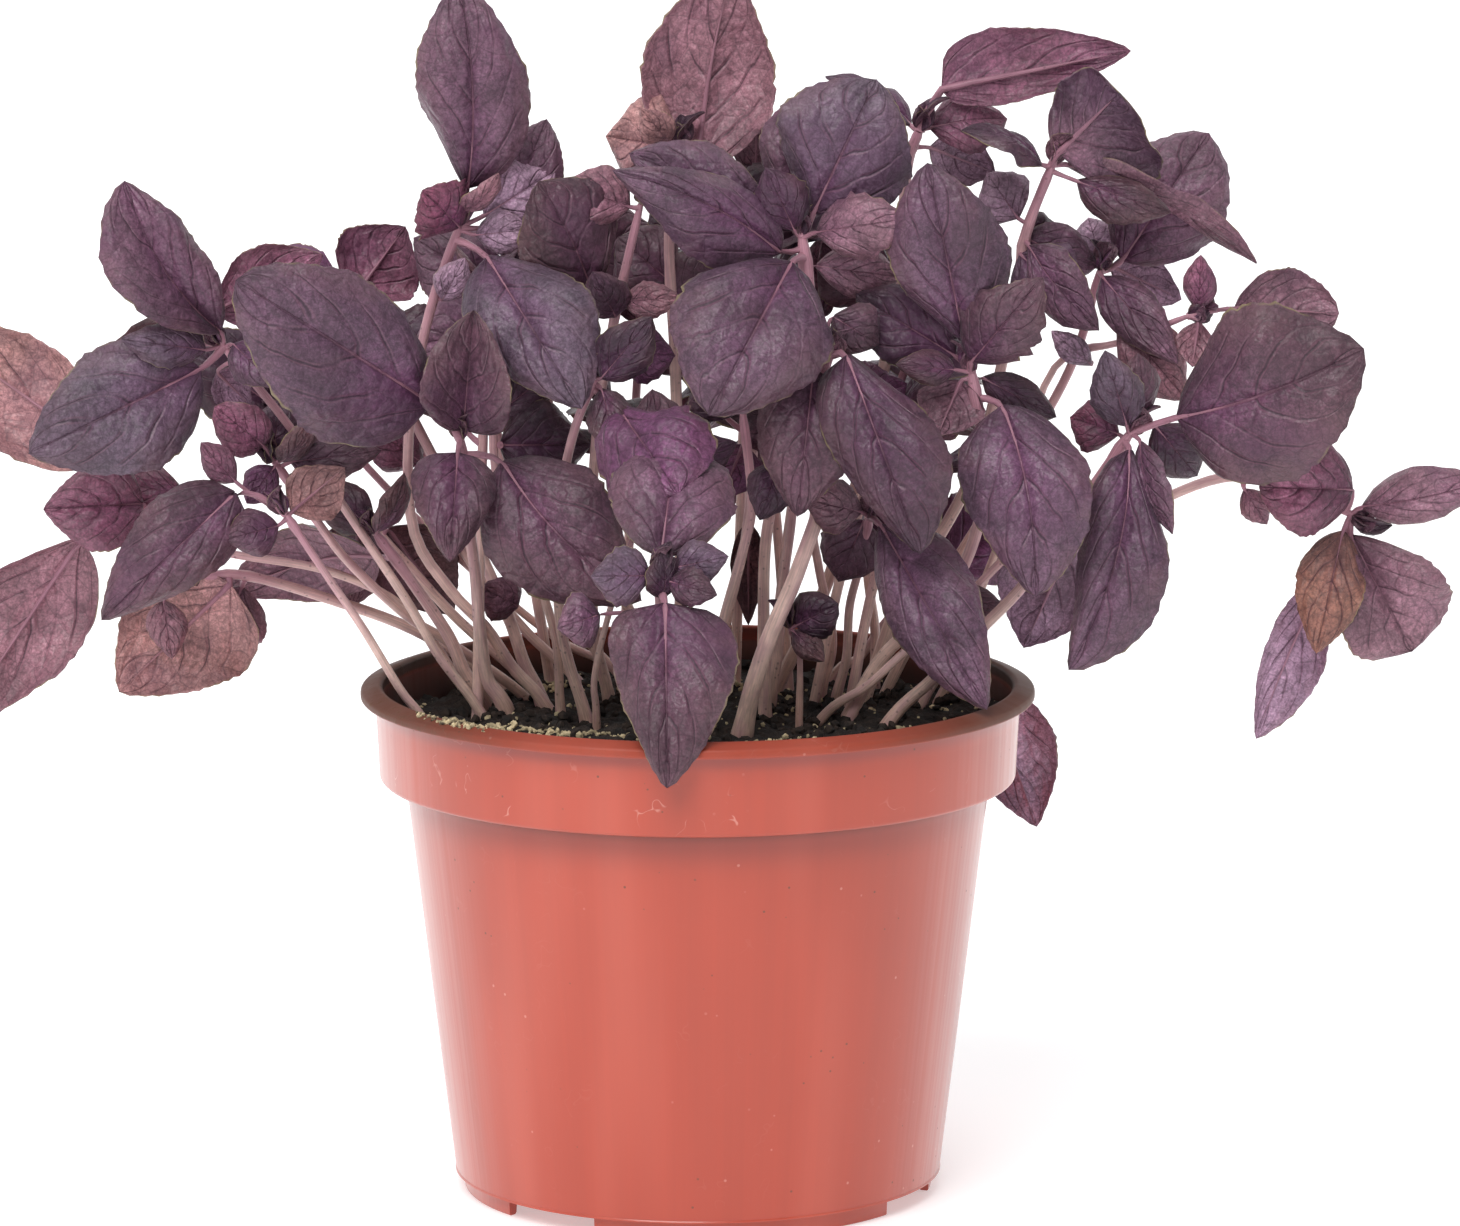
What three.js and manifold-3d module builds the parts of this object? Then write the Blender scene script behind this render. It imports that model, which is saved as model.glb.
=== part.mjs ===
// A purple basil in its nursery pot: a thin terracotta-coloured plastic pot, potting soil, and
// a crowd of leafy stems that stand in holes in the soil. Millimetres, +Z up. The pot stands on
// z = 0 round the Z axis, and -Y is the front.
import * as THREE from "three";
import { mergeVertices } from "three/addons/utils/BufferGeometryUtils.js";
import Module from "manifold-3d";

// Driving dimensions
const POT_HEIGHT = 91.5;
const LIP_RADIUS = 60;
const COLLAR_RADIUS = 57.3;
const COLLAR_HEIGHT = 17;
const BODY_TOP_RADIUS = 52.1;
const BODY_FOOT_RADIUS = 43.4;
const POT_WALL = 1.1;
const LIP_DEPTH = 4; // from the top of the lip to its lower edge
const FOOT_HEIGHT = 3;
const FOOT_WALL = 1.8;
const FOOT_SETBACK = 0.6; // of the feet's outer face from the body's
const FOOT_GAPS = [-39, 66.5, 141, 246.5]; // middles of the gaps, degrees from the front
const FOOT_GAP_ANGLE = 26;
const DRAIN_RADIUS = 3.6;
const DRAIN_CIRCLE = 22;
const DRAIN_COUNT = 6;
const ROUND_SEGMENTS = 36;

const SOIL_HEIGHT = 84.4;
const SOIL_BUMP = 0.8;
const ROOT_DEPTH = 13;
const FIT_GAP = 0.3; // left between touching pieces

const BLADE_THICKNESS = 1.2; // at the midrib
const STEM_SIDES = 5;
const HOLE_CLEARANCE = 0.42;
const HOLE_RISE = 6; // of the hole's cutter above the soil
const COLLAR_RISE = 2.5; // how far above the soil a stem runs straight
const STEM_STEP = 25; // between a stem's rings
const WIDE_BLADE = 12; // blades wider than this get more sections

// The front view that the stems and blades are placed from: a place read at X, Z on the upright
// plane through the pot's axis is pushed along the line of sight to its own depth.
const VIEWPOINT = new THREE.Vector3(5.74, -1474.4, 367.4);

const COLORS = {
  pot: "#cd6452",
  soil: "#1d1917",
  stem: "#6b4a5c",
};

const wasm = await Module();
wasm.setup();

// Leafy stems placed by hand. root is x, y in the soil, thick the stem's thickness at the soil and
// at its top, and stem its further points as X, Z, depth. A blade is
// [base X, base Z, tip X, tip Z, how far its tip comes forward of the stem, width, form], and form
// may hold turn (degrees round its midrib), arch and sway (its bow, as shares of its length), cup
// (how far the edges rise), under (its underside shows), round (blunt and round) and wave.
const HAND_PLACED = {
  left_upper: {
    root: [-38.5, 3],
    thick: [2.2, 1.6],
    stem: [[-46, 96, 3], [-52, 106.5, 2], [-61.5, 121, 0], [-72, 137, -3], [-84, 152, -6]],
    blades: [
      [-84.5, 154.5, -101, 181, 6, 19.5, { turn: 15, cup: 0.35, sway: -0.11 }],
      [-88, 147.5, -118.5, 132.5, 14, 24],
      [-87, 151, -102, 153, 12, 8],
      [-88, 152, -104, 151, -6, 10, { under: true }],
      [-82, 152, -74.5, 144.5, 8, 8],
      [-85, 147, -79, 141, -4, 7, { under: true }],
      [-85, 158, -66, 168, -10, 13, { under: true }],
    ],
  },
  left_outer: {
    root: [-41, 17],
    thick: [2.2, 1.6],
    stem: [[-52, 104.5, 16], [-66, 111.5, 15], [-85, 115, 13], [-98, 121, 11]],
    blades: [
      [-104, 132, -139, 157, -8, 20, { under: true, arch: 0.1 }],
      [-109.5, 117, -132.5, 82.5, 10, 20.5, { under: true }],
      [-98.5, 123.5, -116, 122.5, 7, 15, { cup: 0.3 }],
      [-91, 125, -104, 127.5, -6, 8.5],
    ],
  },
  left_low: {
    root: [-34, 24],
    thick: [2.6, 1.8],
    stem: [[-50, 100.5, 24], [-66, 106.5, 20], [-80, 110.5, 15], [-88, 110.5, 12]],
    blades: [
      [-83, 109, -103, 89.5, 6, 21, { under: true }],
      [-95, 106, -93.5, 95.5, 6, 7],
      [-81, 108.5, -86, 94.5, -6, 13],
    ],
  },
  left_front: {
    root: [-48, -8],
    thick: [1.9, 1.5],
    stem: [[-53, 90, -9], [-59.5, 101, -11], [-65.5, 110, -13], [-73, 121.5, -15]],
    blades: [
      [-82, 125.5, -106, 102.5, 8, 19],
      [-74.5, 119.5, -84, 117, 6, 8],
      [-72, 122, -62.5, 130, -6, 10.5, { under: true }],
      [-82, 127.5, -88, 134.5, 2, 5.5],
    ],
  },
  left_young: {
    root: [-31, 19],
    thick: [2.2, 1.6],
    stem: [[-45, 99, 15], [-52, 103.5, 11], [-62, 113, 5], [-68, 121, 0], [-75, 131, -4]],
    blades: [
      [-77, 134, -85.5, 141, 8, 10, { round: true, cup: 0.3 }],
      [-74, 131, -68, 139, 6, 6, { turn: 40 }],
      [-75, 133, -74, 142, -6, 7.5, { round: true }],
      [-75, 130, -80, 123.5, 8, 6.5],
      [-72, 131, -56, 133, -6, 8.5],
      [-73, 128, -63, 124, -8, 7.5],
    ],
  },
  left_inner: {
    root: [-38, 11],
    thick: [3.3, 2],
    stem: [[-41.5, 93, 9], [-44.5, 100, 7], [-50.5, 109, 4], [-57, 118, 2]],
    blades: [
      [-57, 118.5, -52, 129, 6, 6.5, { turn: 45 }],
      [-58, 119, -67, 127, -4, 8.5],
      [-57, 114, -84, 107, -10, 16, { under: true }],
    ],
  },
  left_wing: {
    root: [-34, 5],
    thick: [3.3, 2],
    stem: [[-37.5, 92, 4], [-38.7, 100, 2], [-39.5, 111, 0], [-41, 123, -8], [-42, 135, -14]],
    blades: [
      [-47, 141.5, -81.5, 163.5, 22, 29, { arch: 0.1 }],
      [-41.5, 137, -39.5, 158, 4, 16, { cup: 0.9 }],
      [-42.5, 132.5, -44, 113, 16, 15.5],
      [-34.5, 131, -10, 106, 10, 23, { sway: 0.06 }],
    ],
  },
  left_tall: {
    root: [-27, 10],
    thick: [2.6, 2],
    stem: [
      [-33, 94, 10], [-37.5, 101, 10], [-44, 108, 10], [-50.5, 119, 9],
      [-51, 138, 4], [-47.5, 157, 0], [-42, 173, -2],
    ],
    blades: [
      [-40.5, 180, -42, 217, 2, 20, { sway: 0.045 }],
      [-34, 174.5, -26.5, 192, -8, 13],
      [-37.5, 175, -25, 183, -4, 14],
      [-39, 171.5, -29, 172.5, 2, 7.5],
      [-42, 173, -48.5, 179.5, 6, 12],
      [-41.5, 175.5, -35, 182.5, 6, 6, { turn: 50 }],
      [-37, 167.5, -20.5, 140.5, 20, 23],
      [-45, 160, -41, 167.5, 6, 6.5],
    ],
  },
  left_back: {
    root: [-28, 15],
    thick: [3, 2],
    stem: [[-31, 95, 16], [-34, 104, 17], [-42, 122, 20], [-52, 142, 24], [-60, 158, 26]],
    blades: [
      [-61, 160, -51.5, 173, -4, 16.5, { under: true }],
      [-63, 160, -80, 167, -8, 14],
      [-57, 152, -40, 148, -6, 18],
      [-32, 105, -38.5, 108.5, 6, 8, { round: true }],
    ],
  },
  inner_left: {
    root: [-24.5, 4],
    thick: [2, 1.6],
    stem: [[-25.4, 100, 3], [-30, 114, 2], [-35, 124, 4], [-36, 140, 8], [-32, 152, 9]],
    blades: [
      [-33, 155, -50, 152, -4, 20],
      [-31, 153, -17, 150, -8, 16],
      [-35, 134, -19, 134, -8, 15],
      [-35, 140, -26, 147, -10, 10],
    ],
  },
  center_back_left: {
    root: [-16, 17],
    thick: [2.8, 1.8],
    stem: [[-18, 98, 17], [-19, 112, 15], [-18, 135, 10], [-15, 155, 4], [-10, 177, 0]],
    blades: [
      [-18.5, 161, -28, 181, 8, 20, { turn: 15 }],
      [-12, 176.5, -23.5, 180.5, 2, 11],
      [-14.5, 157, -18.5, 165, 8, 8, { round: true }],
      [-13, 159.5, -3, 160.5, 6, 6],
      [-15, 151, -4, 150, -4, 10],
    ],
  },
  center_curled: {
    root: [-20, 1],
    thick: [2.6, 1.8],
    stem: [[-23, 95, 1], [-24.5, 103, 0], [-25, 120, -6], [-22, 136, -12], [-18, 146, -16]],
    blades: [
      [-11, 140.5, 0, 124.5, 12, 20, { wave: 0.16, cup: -0.3 }],
      [-17, 146, -8, 157, 6, 9.5],
      [-17, 144, -14, 133, 6, 7.5],
    ],
  },
  seedling_left: {
    root: [-18, -3],
    thick: [1.5, 1.2],
    stem: [[-18.4, 92, -5], [-16.5, 101, -6], [-12, 116, -6], [-6, 130, -5]],
    blades: [
      [-6, 131, -8, 144, -4, 10.5],
      [-5, 129.5, 7, 134.5, -3, 8.5],
    ],
  },
  center_tall: {
    root: [-4, 16],
    thick: [3, 2],
    stem: [[-3, 110, 16], [-4, 150, 13], [-5, 172, 10], [-3, 187, 8]],
    blades: [
      [0, 184, 6, 218, 0, 24.5, { under: true, sway: 0.02 }],
      [-4, 187, -16, 189, -6, 17],
      [-5, 188, -10, 194, 6, 6],
      [-4.5, 163, -14, 171, -6, 14],
      [-4, 159, 5, 168, -6, 13],
    ],
  },
  center: {
    root: [8, -13],
    thick: [4.4, 2.4],
    stem: [[10, 91, -14], [13, 100, -14], [18, 112, -14], [22.5, 128, -12], [21, 150, -10],
      [18.5, 171, -10]],
    blades: [
      [13, 175.5, -12, 186, -4, 13.5],
      [14.5, 168.5, -15, 183, 8, 20, { sway: 0.06 }],
      [16.5, 166.5, 2, 139.3, 24, 26],
      [17, 172.5, 12, 183.5, 5, 9.5],
      [21, 172, 37.7, 174.5, 10, 11.5],
      [20.5, 175.5, 31.5, 199, 0, 25.5],
      [16, 177, 19, 197, -14, 13],
      [21, 166, 36, 164, -4, 9],
    ],
  },
  right_top: {
    root: [14, 24],
    thick: [3, 2.2],
    stem: [[24, 112, 22], [33, 148, 16], [36, 172, 11], [37, 184, 9], [39, 190, 7]],
    blades: [
      [45.5, 202, 76.2, 203.5, 0, 14, { under: true, arch: 0.04, round: true }],
      [37.5, 191, 22.5, 199.5, -6, 12, { turn: 66 }],
      [41, 190.5, 54.5, 192, -4, 11.5, { turn: -20 }],
      [41, 187, 52.5, 182.5, -10, 9.5, { under: true }],
    ],
  },
  right_high: {
    root: [30, 18],
    thick: [3, 2],
    stem: [[37, 109, 17], [44, 119.5, 15], [50.5, 134, 13], [56, 160, 8], [58, 172, 5],
      [62.5, 184, 2]],
    blades: [
      [63.5, 186, 74, 196.5, 4, 24, { under: true, cup: 0.45 }],
      [60.5, 184, 46.5, 190, 6, 12, { turn: 72 }],
      [65, 184, 98.7, 166.5, -6, 12, { turn: 66 }],
      [67, 181, 83.5, 175.5, 4, 9.5],
      [56.5, 174.5, 51, 182.5, -4, 10.5],
      [60, 179, 73, 178.3, -8, 8, { turn: 30 }],
      [58.5, 169.5, 71, 154.5, 8, 10.5, { turn: 20 }],
      [57.5, 171, 70.5, 165.8, -6, 9.5],
      [57, 168, 66.5, 159, 3, 14],
      [57.5, 170.5, 64.5, 172.5, -9, 8],
    ],
  },
  right_broad: {
    root: [27, 2],
    thick: [3.2, 2.2],
    stem: [[33, 96, 2], [41, 104, 0], [48, 114, -4], [51, 129, -10], [48.5, 147, -14]],
    blades: [
      [47, 153, 40.5, 184.3, 6, 22.5],
      [48.5, 149, 61, 164, 10, 13.5],
      [46.5, 145.5, 42.5, 135.7, 2, 12, { under: true }],
      [54, 141, 60, 106.8, 16, 23, { sway: -0.05 }],
      [45.5, 150, 28, 161, -8, 13.5],
      [45.5, 147.5, 35, 148.5, 6, 5.5],
      [50.5, 146, 63.5, 139, -6, 9],
    ],
  },
  right_mid: {
    root: [34, 25],
    thick: [2.6, 1.8],
    stem: [[44, 110, 23], [56, 130, 19], [66, 148, 14], [71, 165, 10]],
    blades: [
      [75, 167, 90, 189.5, -6, 21.5, { round: true }],
      [71.5, 165.5, 69, 174.5, -8, 11],
      [73, 166, 85.5, 160, -6, 9, { under: true }],
      [71.5, 164, 85, 148.5, 12, 9.5],
    ],
  },
  right_small: {
    root: [40, 11],
    thick: [2.2, 1.2],
    stem: [[46, 98, 11], [54, 118, 9], [62.5, 147, 7], [75, 152.5, 4], [86.5, 157, 2]],
    blades: [
      [74.5, 156.5, 86.5, 142, 8, 11.5],
      [95, 158.5, 114.5, 157.5, -6, 16.5, { under: true }],
      [88.5, 158.5, 88.8, 168, 2, 5.5],
      [88.5, 156, 87.5, 148, 4, 6.5, { under: true }],
      [69.5, 148.5, 62.5, 154.5, 4, 4.5],
    ],
  },
  right_wing: {
    root: [34, -3],
    thick: [2.8, 2.2],
    stem: [[42, 92, -3], [50, 100.5, -4], [58, 109, -5], [67, 122, -7], [76.5, 136, -9]],
    blades: [
      [85, 139, 118.5, 151.5, 12, 31.5, { arch: 0.08, sway: 0.04 }],
      [76, 137.5, 72, 151, 6, 9.5],
      [77.5, 138.5, 77.8, 150.5, 0, 8.5, { turn: 35 }],
      [74.5, 136, 66, 139, -4, 9.5],
      [76.5, 133, 66, 93.5, 14, 19.5, { sway: -0.07 }],
      [78.5, 134.5, 84.3, 118, 10, 9, { turn: 45 }],
      [81, 137.5, 88.5, 128.5, -8, 11],
    ],
  },
  right_far: {
    root: [44, 20],
    thick: [2.6, 1.8],
    stem: [[51, 102, 18], [66, 115, 15], [84, 125, 12], [96, 128.5, 10], [108, 126, 7],
      [116, 121.5, 4]],
    blades: [
      [118, 123, 141, 128, 6, 10.5, { sway: 0.03 }],
      [116, 117.5, 127, 97, 2, 21.5, { cup: 0.3 }],
      [114.5, 118.5, 110, 96.5, 8, 12],
      [113, 113, 99.5, 81, -6, 12, { under: true, sway: -0.02 }],
      [116, 126, 99.5, 126.5, 10, 17.5, { round: true }],
      [97, 126, 101, 119.8, -3, 5],
    ],
  },
  right_drape: {
    root: [24.5, 11],
    thick: [2.2, 1.6],
    stem: [[26.5, 96, 9], [27, 105, 4], [29, 113, -3], [30.5, 121, -8]],
    blades: [
      [32.5, 119.5, 51.5, 86.3, 20, 18],
      [29, 122, 19, 124.3, 4, 9],
      [29.5, 120.5, 25, 109.5, -6, 11],
    ],
  },
  right_inner: {
    root: [22, 1],
    thick: [2, 1.6],
    stem: [[30, 90.5, 2], [36, 96, 4], [47, 106, 9], [58, 117, 14], [66, 122, 15]],
    blades: [
      [67, 118, 58, 97.5, 2, 18.5, { under: true }],
      [46, 106.5, 54.5, 104.8, 2, 5],
      [66, 124, 52, 132, -6, 15],
    ],
  },
  center_slim: {
    root: [1, -2],
    thick: [2.6, 1.8],
    stem: [[4, 100, -3], [8, 115, -4], [9.6, 124, -3], [8, 140, 2]],
    blades: [
      [7.5, 140, 0, 148, -8, 12],
      [8, 134, 4, 124, -8, 10, { under: true }],
    ],
  },
  center_rear: {
    root: [13, 12],
    thick: [2.4, 1.8],
    stem: [[14.4, 98, 12], [15.3, 110, 11], [16.8, 122, 9], [17, 135, 6]],
    blades: [
      [17, 135, 9, 142, -6, 12],
      [17.5, 134, 27, 139, -6, 12],
    ],
  },
  center_right: {
    root: [12, 3],
    thick: [3, 2],
    stem: [[11.7, 100, 1], [12.5, 120, -3], [18, 138, -16], [23.5, 150, -19]],
    blades: [
      [26.5, 150, 39.5, 114.4, 14, 21.5],
      [20.5, 147.5, 18, 124, 8, 17.5],
      [24, 157, 32, 152, -4, 10],
      [14.5, 130.5, 11, 120.5, 6, 8.5],
    ],
  },
  front: {
    root: [-7.5, -32],
    thick: [2.6, 1.8],
    stem: [[-7.3, 94, -40], [-6.8, 103, -45], [-6.5, 110.5, -47]],
    blades: [
      [-6.5, 114, -3, 142, -6, 22.5],
      [-5.8, 105.5, -5.5, 72, 18, 24, { arch: 0.06 }],
      [-8.5, 110.5, -19, 110.5, 6, 9.5],
      [-5, 109.5, 3.5, 107, 5, 6.5],
      [-4, 112, 5.5, 114, 0, 7.5],
      [-17.5, 103.5, -25, 101, 4, 9.5],
      [-6.2, 106.5, -6.5, 115, 3, 7, { turn: 30 }],
    ],
  },
  seedling_right: {
    root: [18, -6],
    thick: [1.4, 1.1],
    stem: [[18.2, 92, -7], [18, 97, -8], [16.5, 101, -9]],
    blades: [
      [17.5, 101.5, 25, 105.5, 4, 8.5, { round: true }],
      [17, 100.5, 22.5, 95, 4, 4.5],
    ],
  },
  left_rear: {
    root: [-12, 40],
    thick: [1.8, 1.5],
    stem: [[-24, 98.5, 38], [-36, 108, 34], [-50, 121, 32], [-64, 136, 30]],
    blades: [
      [-66, 138, -82, 142, 4, 17],
      [-62, 139, -57, 156, -2, 17],
      [-62, 134, -70, 128, 6, 8.5],
    ],
  },
  left_fan: {
    root: [-30, 28],
    thick: [2.4, 1.7],
    stem: [[-43, 103, 28], [-52, 113, 27], [-62, 124, 24], [-73, 138, 18]],
    blades: [
      [-75, 141, -92, 153, -2, 15],
      [-72, 141, -66, 157, -6, 15],
      [-70, 136, -62, 130, 4, 9],
      [-55, 119, -43.5, 103.5, -6, 15, { under: true }],
      [-60, 121, -62, 104.5, -8, 14, { under: true }],
    ],
  },
  left_fan_rear: {
    root: [-21, 30],
    thick: [2.4, 1.7],
    stem: [[-31, 101, 32], [-41, 114, 32], [-47, 126, 31], [-51, 141, 29]],
    blades: [
      [-50, 144, -34, 152, -6, 17],
      [-53, 142, -69, 147, -8, 17],
      [-49, 131, -59, 138, 6, 10],
    ],
  },
  center_fan_left: {
    root: [-12, 26],
    thick: [2.4, 1.7],
    stem: [[-20, 100, 27], [-27, 120, 27], [-32, 143, 25], [-34, 159, 22]],
    blades: [
      [-36, 162, -50, 171, -4, 15],
      [-32, 162, -23, 176, -6, 15],
    ],
  },
  center_fan: {
    root: [-4, 29],
    thick: [2.6, 1.8],
    stem: [[-13, 106, 31], [-23, 130, 29], [-27.5, 149, 27], [-25, 166, 24]],
    blades: [
      [-23, 168, -8, 173, -6, 16],
      [-26, 162, -38, 158, -8, 16],
    ],
  },
  center_fan_right: {
    root: [3, 21],
    thick: [2.4, 1.7],
    stem: [[5.5, 104, 22], [9, 121, 21], [10, 148, 19], [6, 168, 18]],
    blades: [
      [4, 172, -8, 182, -6, 15],
      [8, 172, 20, 184, -6, 15],
      [7, 158, -4, 152, -6, 15],
      [9, 120, 9, 101.5, -6, 11, { under: true }],
    ],
  },
  right_fan: {
    root: [22, 17],
    thick: [2.2, 1.6],
    stem: [[24, 99, 17], [21.5, 112, 16], [20.5, 121, 14], [23, 138, 10]],
    blades: [
      [22, 141, 9, 148, -4, 14],
      [25, 140, 37, 145, -4, 14],
    ],
  },
  right_fan_rear: {
    root: [32, 30],
    thick: [2.4, 1.7],
    stem: [[31.5, 101, 30], [30, 115, 29], [32, 137, 26], [34, 157, 23]],
    blades: [
      [36, 160, 46, 176, -4, 18],
      [32, 160, 22, 170, -4, 14],
    ],
  },
  rear_drape: {
    root: [24, 38],
    thick: [2.2, 1.6],
    stem: [[29, 96, 41], [35, 104, 42], [42, 107, 43]],
    blades: [
      [51, 92, 60.5, 65, -3, 17, { under: true }],
      [44, 112, 57, 124, -8, 18],
      [40, 110, 32, 128, -10, 18],
    ],
  },
};

// Leafy stems at the back, by a seeded rule
const BACK_STEMS = 16;
const BACK_SEED = 20;
const BACK_REACHES = [22, 40, 52]; // how far the tops lean out, in turn
const BACK_TOP = 186; // height of a top that leans nowhere, which drops as it leans out
const BACK_DROP = 0.75;
const BACK_THICK = [2.6, 1.7];
const ROOT_RING = [20, 46];
const BACK_LEVELS = [
  { share: 1, length: 15, width: 8, lift: 50 },
  { share: 0.86, length: 38, width: 22, lift: 12 },
  { share: 0.66, length: 30, width: 17, lift: 0 },
];
const LOWEST_BLADE = 66;
const BACK_RANGE = [-8, 63]; // of y, for the blades at the back

// A seeded draw between 0 and 1
function drawer(seed) {
  let state = seed;
  return () => {
    state = (state + 0x6d2b79f5) | 0;
    let mixed = Math.imul(state ^ (state >>> 15), 1 | state);
    mixed = (mixed + Math.imul(mixed ^ (mixed >>> 7), 61 | mixed)) ^ mixed;
    return ((mixed ^ (mixed >>> 14)) >>> 0) / 4294967296;
  };
}

const radians = THREE.MathUtils.degToRad;

// The point at a depth that shows at X, Z of the front view
function seen(x, z, depth) {
  const reach = 1 - depth / VIEWPOINT.y;
  return new THREE.Vector3(x, 0, z).sub(VIEWPOINT).multiplyScalar(reach).add(VIEWPOINT);
}

// Where a point shows in the front view
function shown(point) {
  const reach = VIEWPOINT.y / (VIEWPOINT.y - point.y);
  const at = point.clone().sub(VIEWPOINT).multiplyScalar(reach).add(VIEWPOINT);
  return new THREE.Vector2(at.x, at.z);
}

// A closed solid through rings of points. The last ring may be a single point.
function loft(rings) {
  const sides = rings[0].length;
  const index = [];
  let here = 0;
  for (let side = 2; side < sides; side++) index.push(0, side, side - 1);
  for (let ring = 1; ring < rings.length; ring++) {
    const next = here + sides;
    for (let side = 0; side < sides; side++) {
      const [a, b] = [here + side, here + ((side + 1) % sides)];
      const [c, d] = [next + ((side + 1) % sides), next + side];
      if (rings[ring].length === 1) index.push(a, b, next);
      else if (side % 2) index.push(a, b, c, a, c, d);
      else index.push(a, b, d, b, c, d);
    }
    here = next;
  }
  if (rings.at(-1).length > 1)
    for (let side = 2; side < sides; side++) index.push(here, here + side - 1, here + side);
  const positions = rings.flat().flatMap((point) => point.toArray());
  const geometry = new THREE.BufferGeometry();
  geometry.setAttribute("position", new THREE.Float32BufferAttribute(positions, 3));
  return geometry.setIndex(index);
}

// A closed geometry as a solid that can be joined and cut
function solidOf(geometry) {
  geometry.deleteAttribute("normal");
  geometry.deleteAttribute("uv");
  const merged = mergeVertices(geometry, 1e-4);
  const mesh = new wasm.Mesh({
    numProp: 3,
    vertProperties: merged.attributes.position.array,
    triVerts: new Uint32Array(merged.index.array),
  });
  return new wasm.Manifold(mesh);
}

// A solid as a named mesh
function meshOf(name, solid, color, roughness) {
  const { numProp, vertProperties, triVerts } = solid.getMesh();
  const positions = [];
  for (let i = 0; i < vertProperties.length; i += numProp)
    positions.push(...vertProperties.slice(i, i + 3));
  const geometry = new THREE.BufferGeometry();
  geometry.setAttribute("position", new THREE.Float32BufferAttribute(positions, 3));
  geometry.setIndex(Array.from(triVerts));
  geometry.computeVertexNormals();
  const material = new THREE.MeshStandardMaterial({ color, roughness, metalness: 0 });
  const mesh = new THREE.Mesh(geometry, material);
  mesh.name = name;
  return mesh;
}

// Pot and soil

function potProfile() {
  const shoulder = POT_HEIGHT - COLLAR_HEIGHT;
  const floor = FOOT_HEIGHT + POT_WALL;
  const footOuter = BODY_FOOT_RADIUS - FOOT_SETBACK;
  const bodyInner = BODY_TOP_RADIUS - POT_WALL;
  const collarInner = COLLAR_RADIUS - POT_WALL - 0.1;
  return [
    [0, FOOT_HEIGHT],
    [footOuter - FOOT_WALL - 0.2, FOOT_HEIGHT],
    [footOuter - FOOT_WALL, 0],
    [footOuter, 0],
    [footOuter + 0.1, FOOT_HEIGHT],
    [BODY_FOOT_RADIUS, FOOT_HEIGHT],
    [BODY_TOP_RADIUS, shoulder],
    [COLLAR_RADIUS - 0.7, shoulder],
    [COLLAR_RADIUS, POT_HEIGHT - LIP_DEPTH],
    [LIP_RADIUS - 1.6, POT_HEIGHT - LIP_DEPTH],
    [LIP_RADIUS, POT_HEIGHT - 2],
    [LIP_RADIUS - 0.5, POT_HEIGHT - 0.6],
    [LIP_RADIUS - 1.7, POT_HEIGHT],
    [LIP_RADIUS - 3, POT_HEIGHT - 0.2],
    [collarInner, POT_HEIGHT - 1.4],
    [collarInner - 0.5, shoulder + POT_WALL],
    [bodyInner, shoulder + POT_WALL],
    [BODY_FOOT_RADIUS - POT_WALL + 0.1, floor + 0.6],
    [BODY_FOOT_RADIUS - POT_WALL - 0.8, floor],
    [0, floor],
  ];
}

function lathe(profile) {
  const points = profile.map(([radius, z]) => new THREE.Vector2(radius, z));
  return new THREE.LatheGeometry(points, ROUND_SEGMENTS).rotateX(Math.PI / 2);
}

function footGap(angle) {
  const width = 2 * BODY_FOOT_RADIUS * Math.sin(radians(FOOT_GAP_ANGLE / 2));
  const block = new THREE.BoxGeometry(width, 12, FOOT_HEIGHT);
  block.translate(0, -BODY_FOOT_RADIUS, FOOT_HEIGHT / 2);
  return solidOf(block.rotateZ(radians(angle)));
}

function drainHole(turn) {
  const hole = new THREE.CylinderGeometry(DRAIN_RADIUS, DRAIN_RADIUS, 4 * POT_WALL, 8);
  hole.rotateX(Math.PI / 2).translate(DRAIN_CIRCLE, 0, FOOT_HEIGHT + POT_WALL / 2);
  return solidOf(hole.rotateZ(turn));
}

function pot() {
  let solid = solidOf(lathe(potProfile()));
  for (const angle of FOOT_GAPS) solid = solid.subtract(footGap(angle));
  for (let hole = 0; hole < DRAIN_COUNT; hole++)
    solid = solid.subtract(drainHole((hole * 2 * Math.PI) / DRAIN_COUNT));
  return solid;
}

function soilBlock() {
  const shoulder = POT_HEIGHT - COLLAR_HEIGHT + POT_WALL + FIT_GAP;
  const bodyRadius = BODY_TOP_RADIUS - POT_WALL - FIT_GAP;
  const topRadius = COLLAR_RADIUS - POT_WALL - 0.5 - FIT_GAP;
  const bottom = FOOT_HEIGHT + POT_WALL + FIT_GAP;
  const profile = [
    [0, bottom],
    [BODY_FOOT_RADIUS - POT_WALL - 1.2, bottom],
    [bodyRadius, shoulder],
    [topRadius - 0.2, shoulder],
    [topRadius, SOIL_HEIGHT],
    [39, SOIL_HEIGHT],
    [20, SOIL_HEIGHT],
    [0, SOIL_HEIGHT],
  ];
  const geometry = lathe(profile);
  const place = geometry.attributes.position;
  for (let i = 0; i < place.count; i++)
    if (place.getZ(i) > SOIL_HEIGHT - 0.1) place.setZ(i, groundAt(place.getX(i), place.getY(i)));
  return solidOf(geometry);
}

// The bumpy top of the soil
function groundAt(x, y) {
  const rough = Math.sin(0.19 * x + 1) * Math.cos(0.23 * y) + 0.5 * Math.sin(0.41 * (x + y));
  return SOIL_HEIGHT + SOIL_BUMP * rough;
}

// Stems

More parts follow.
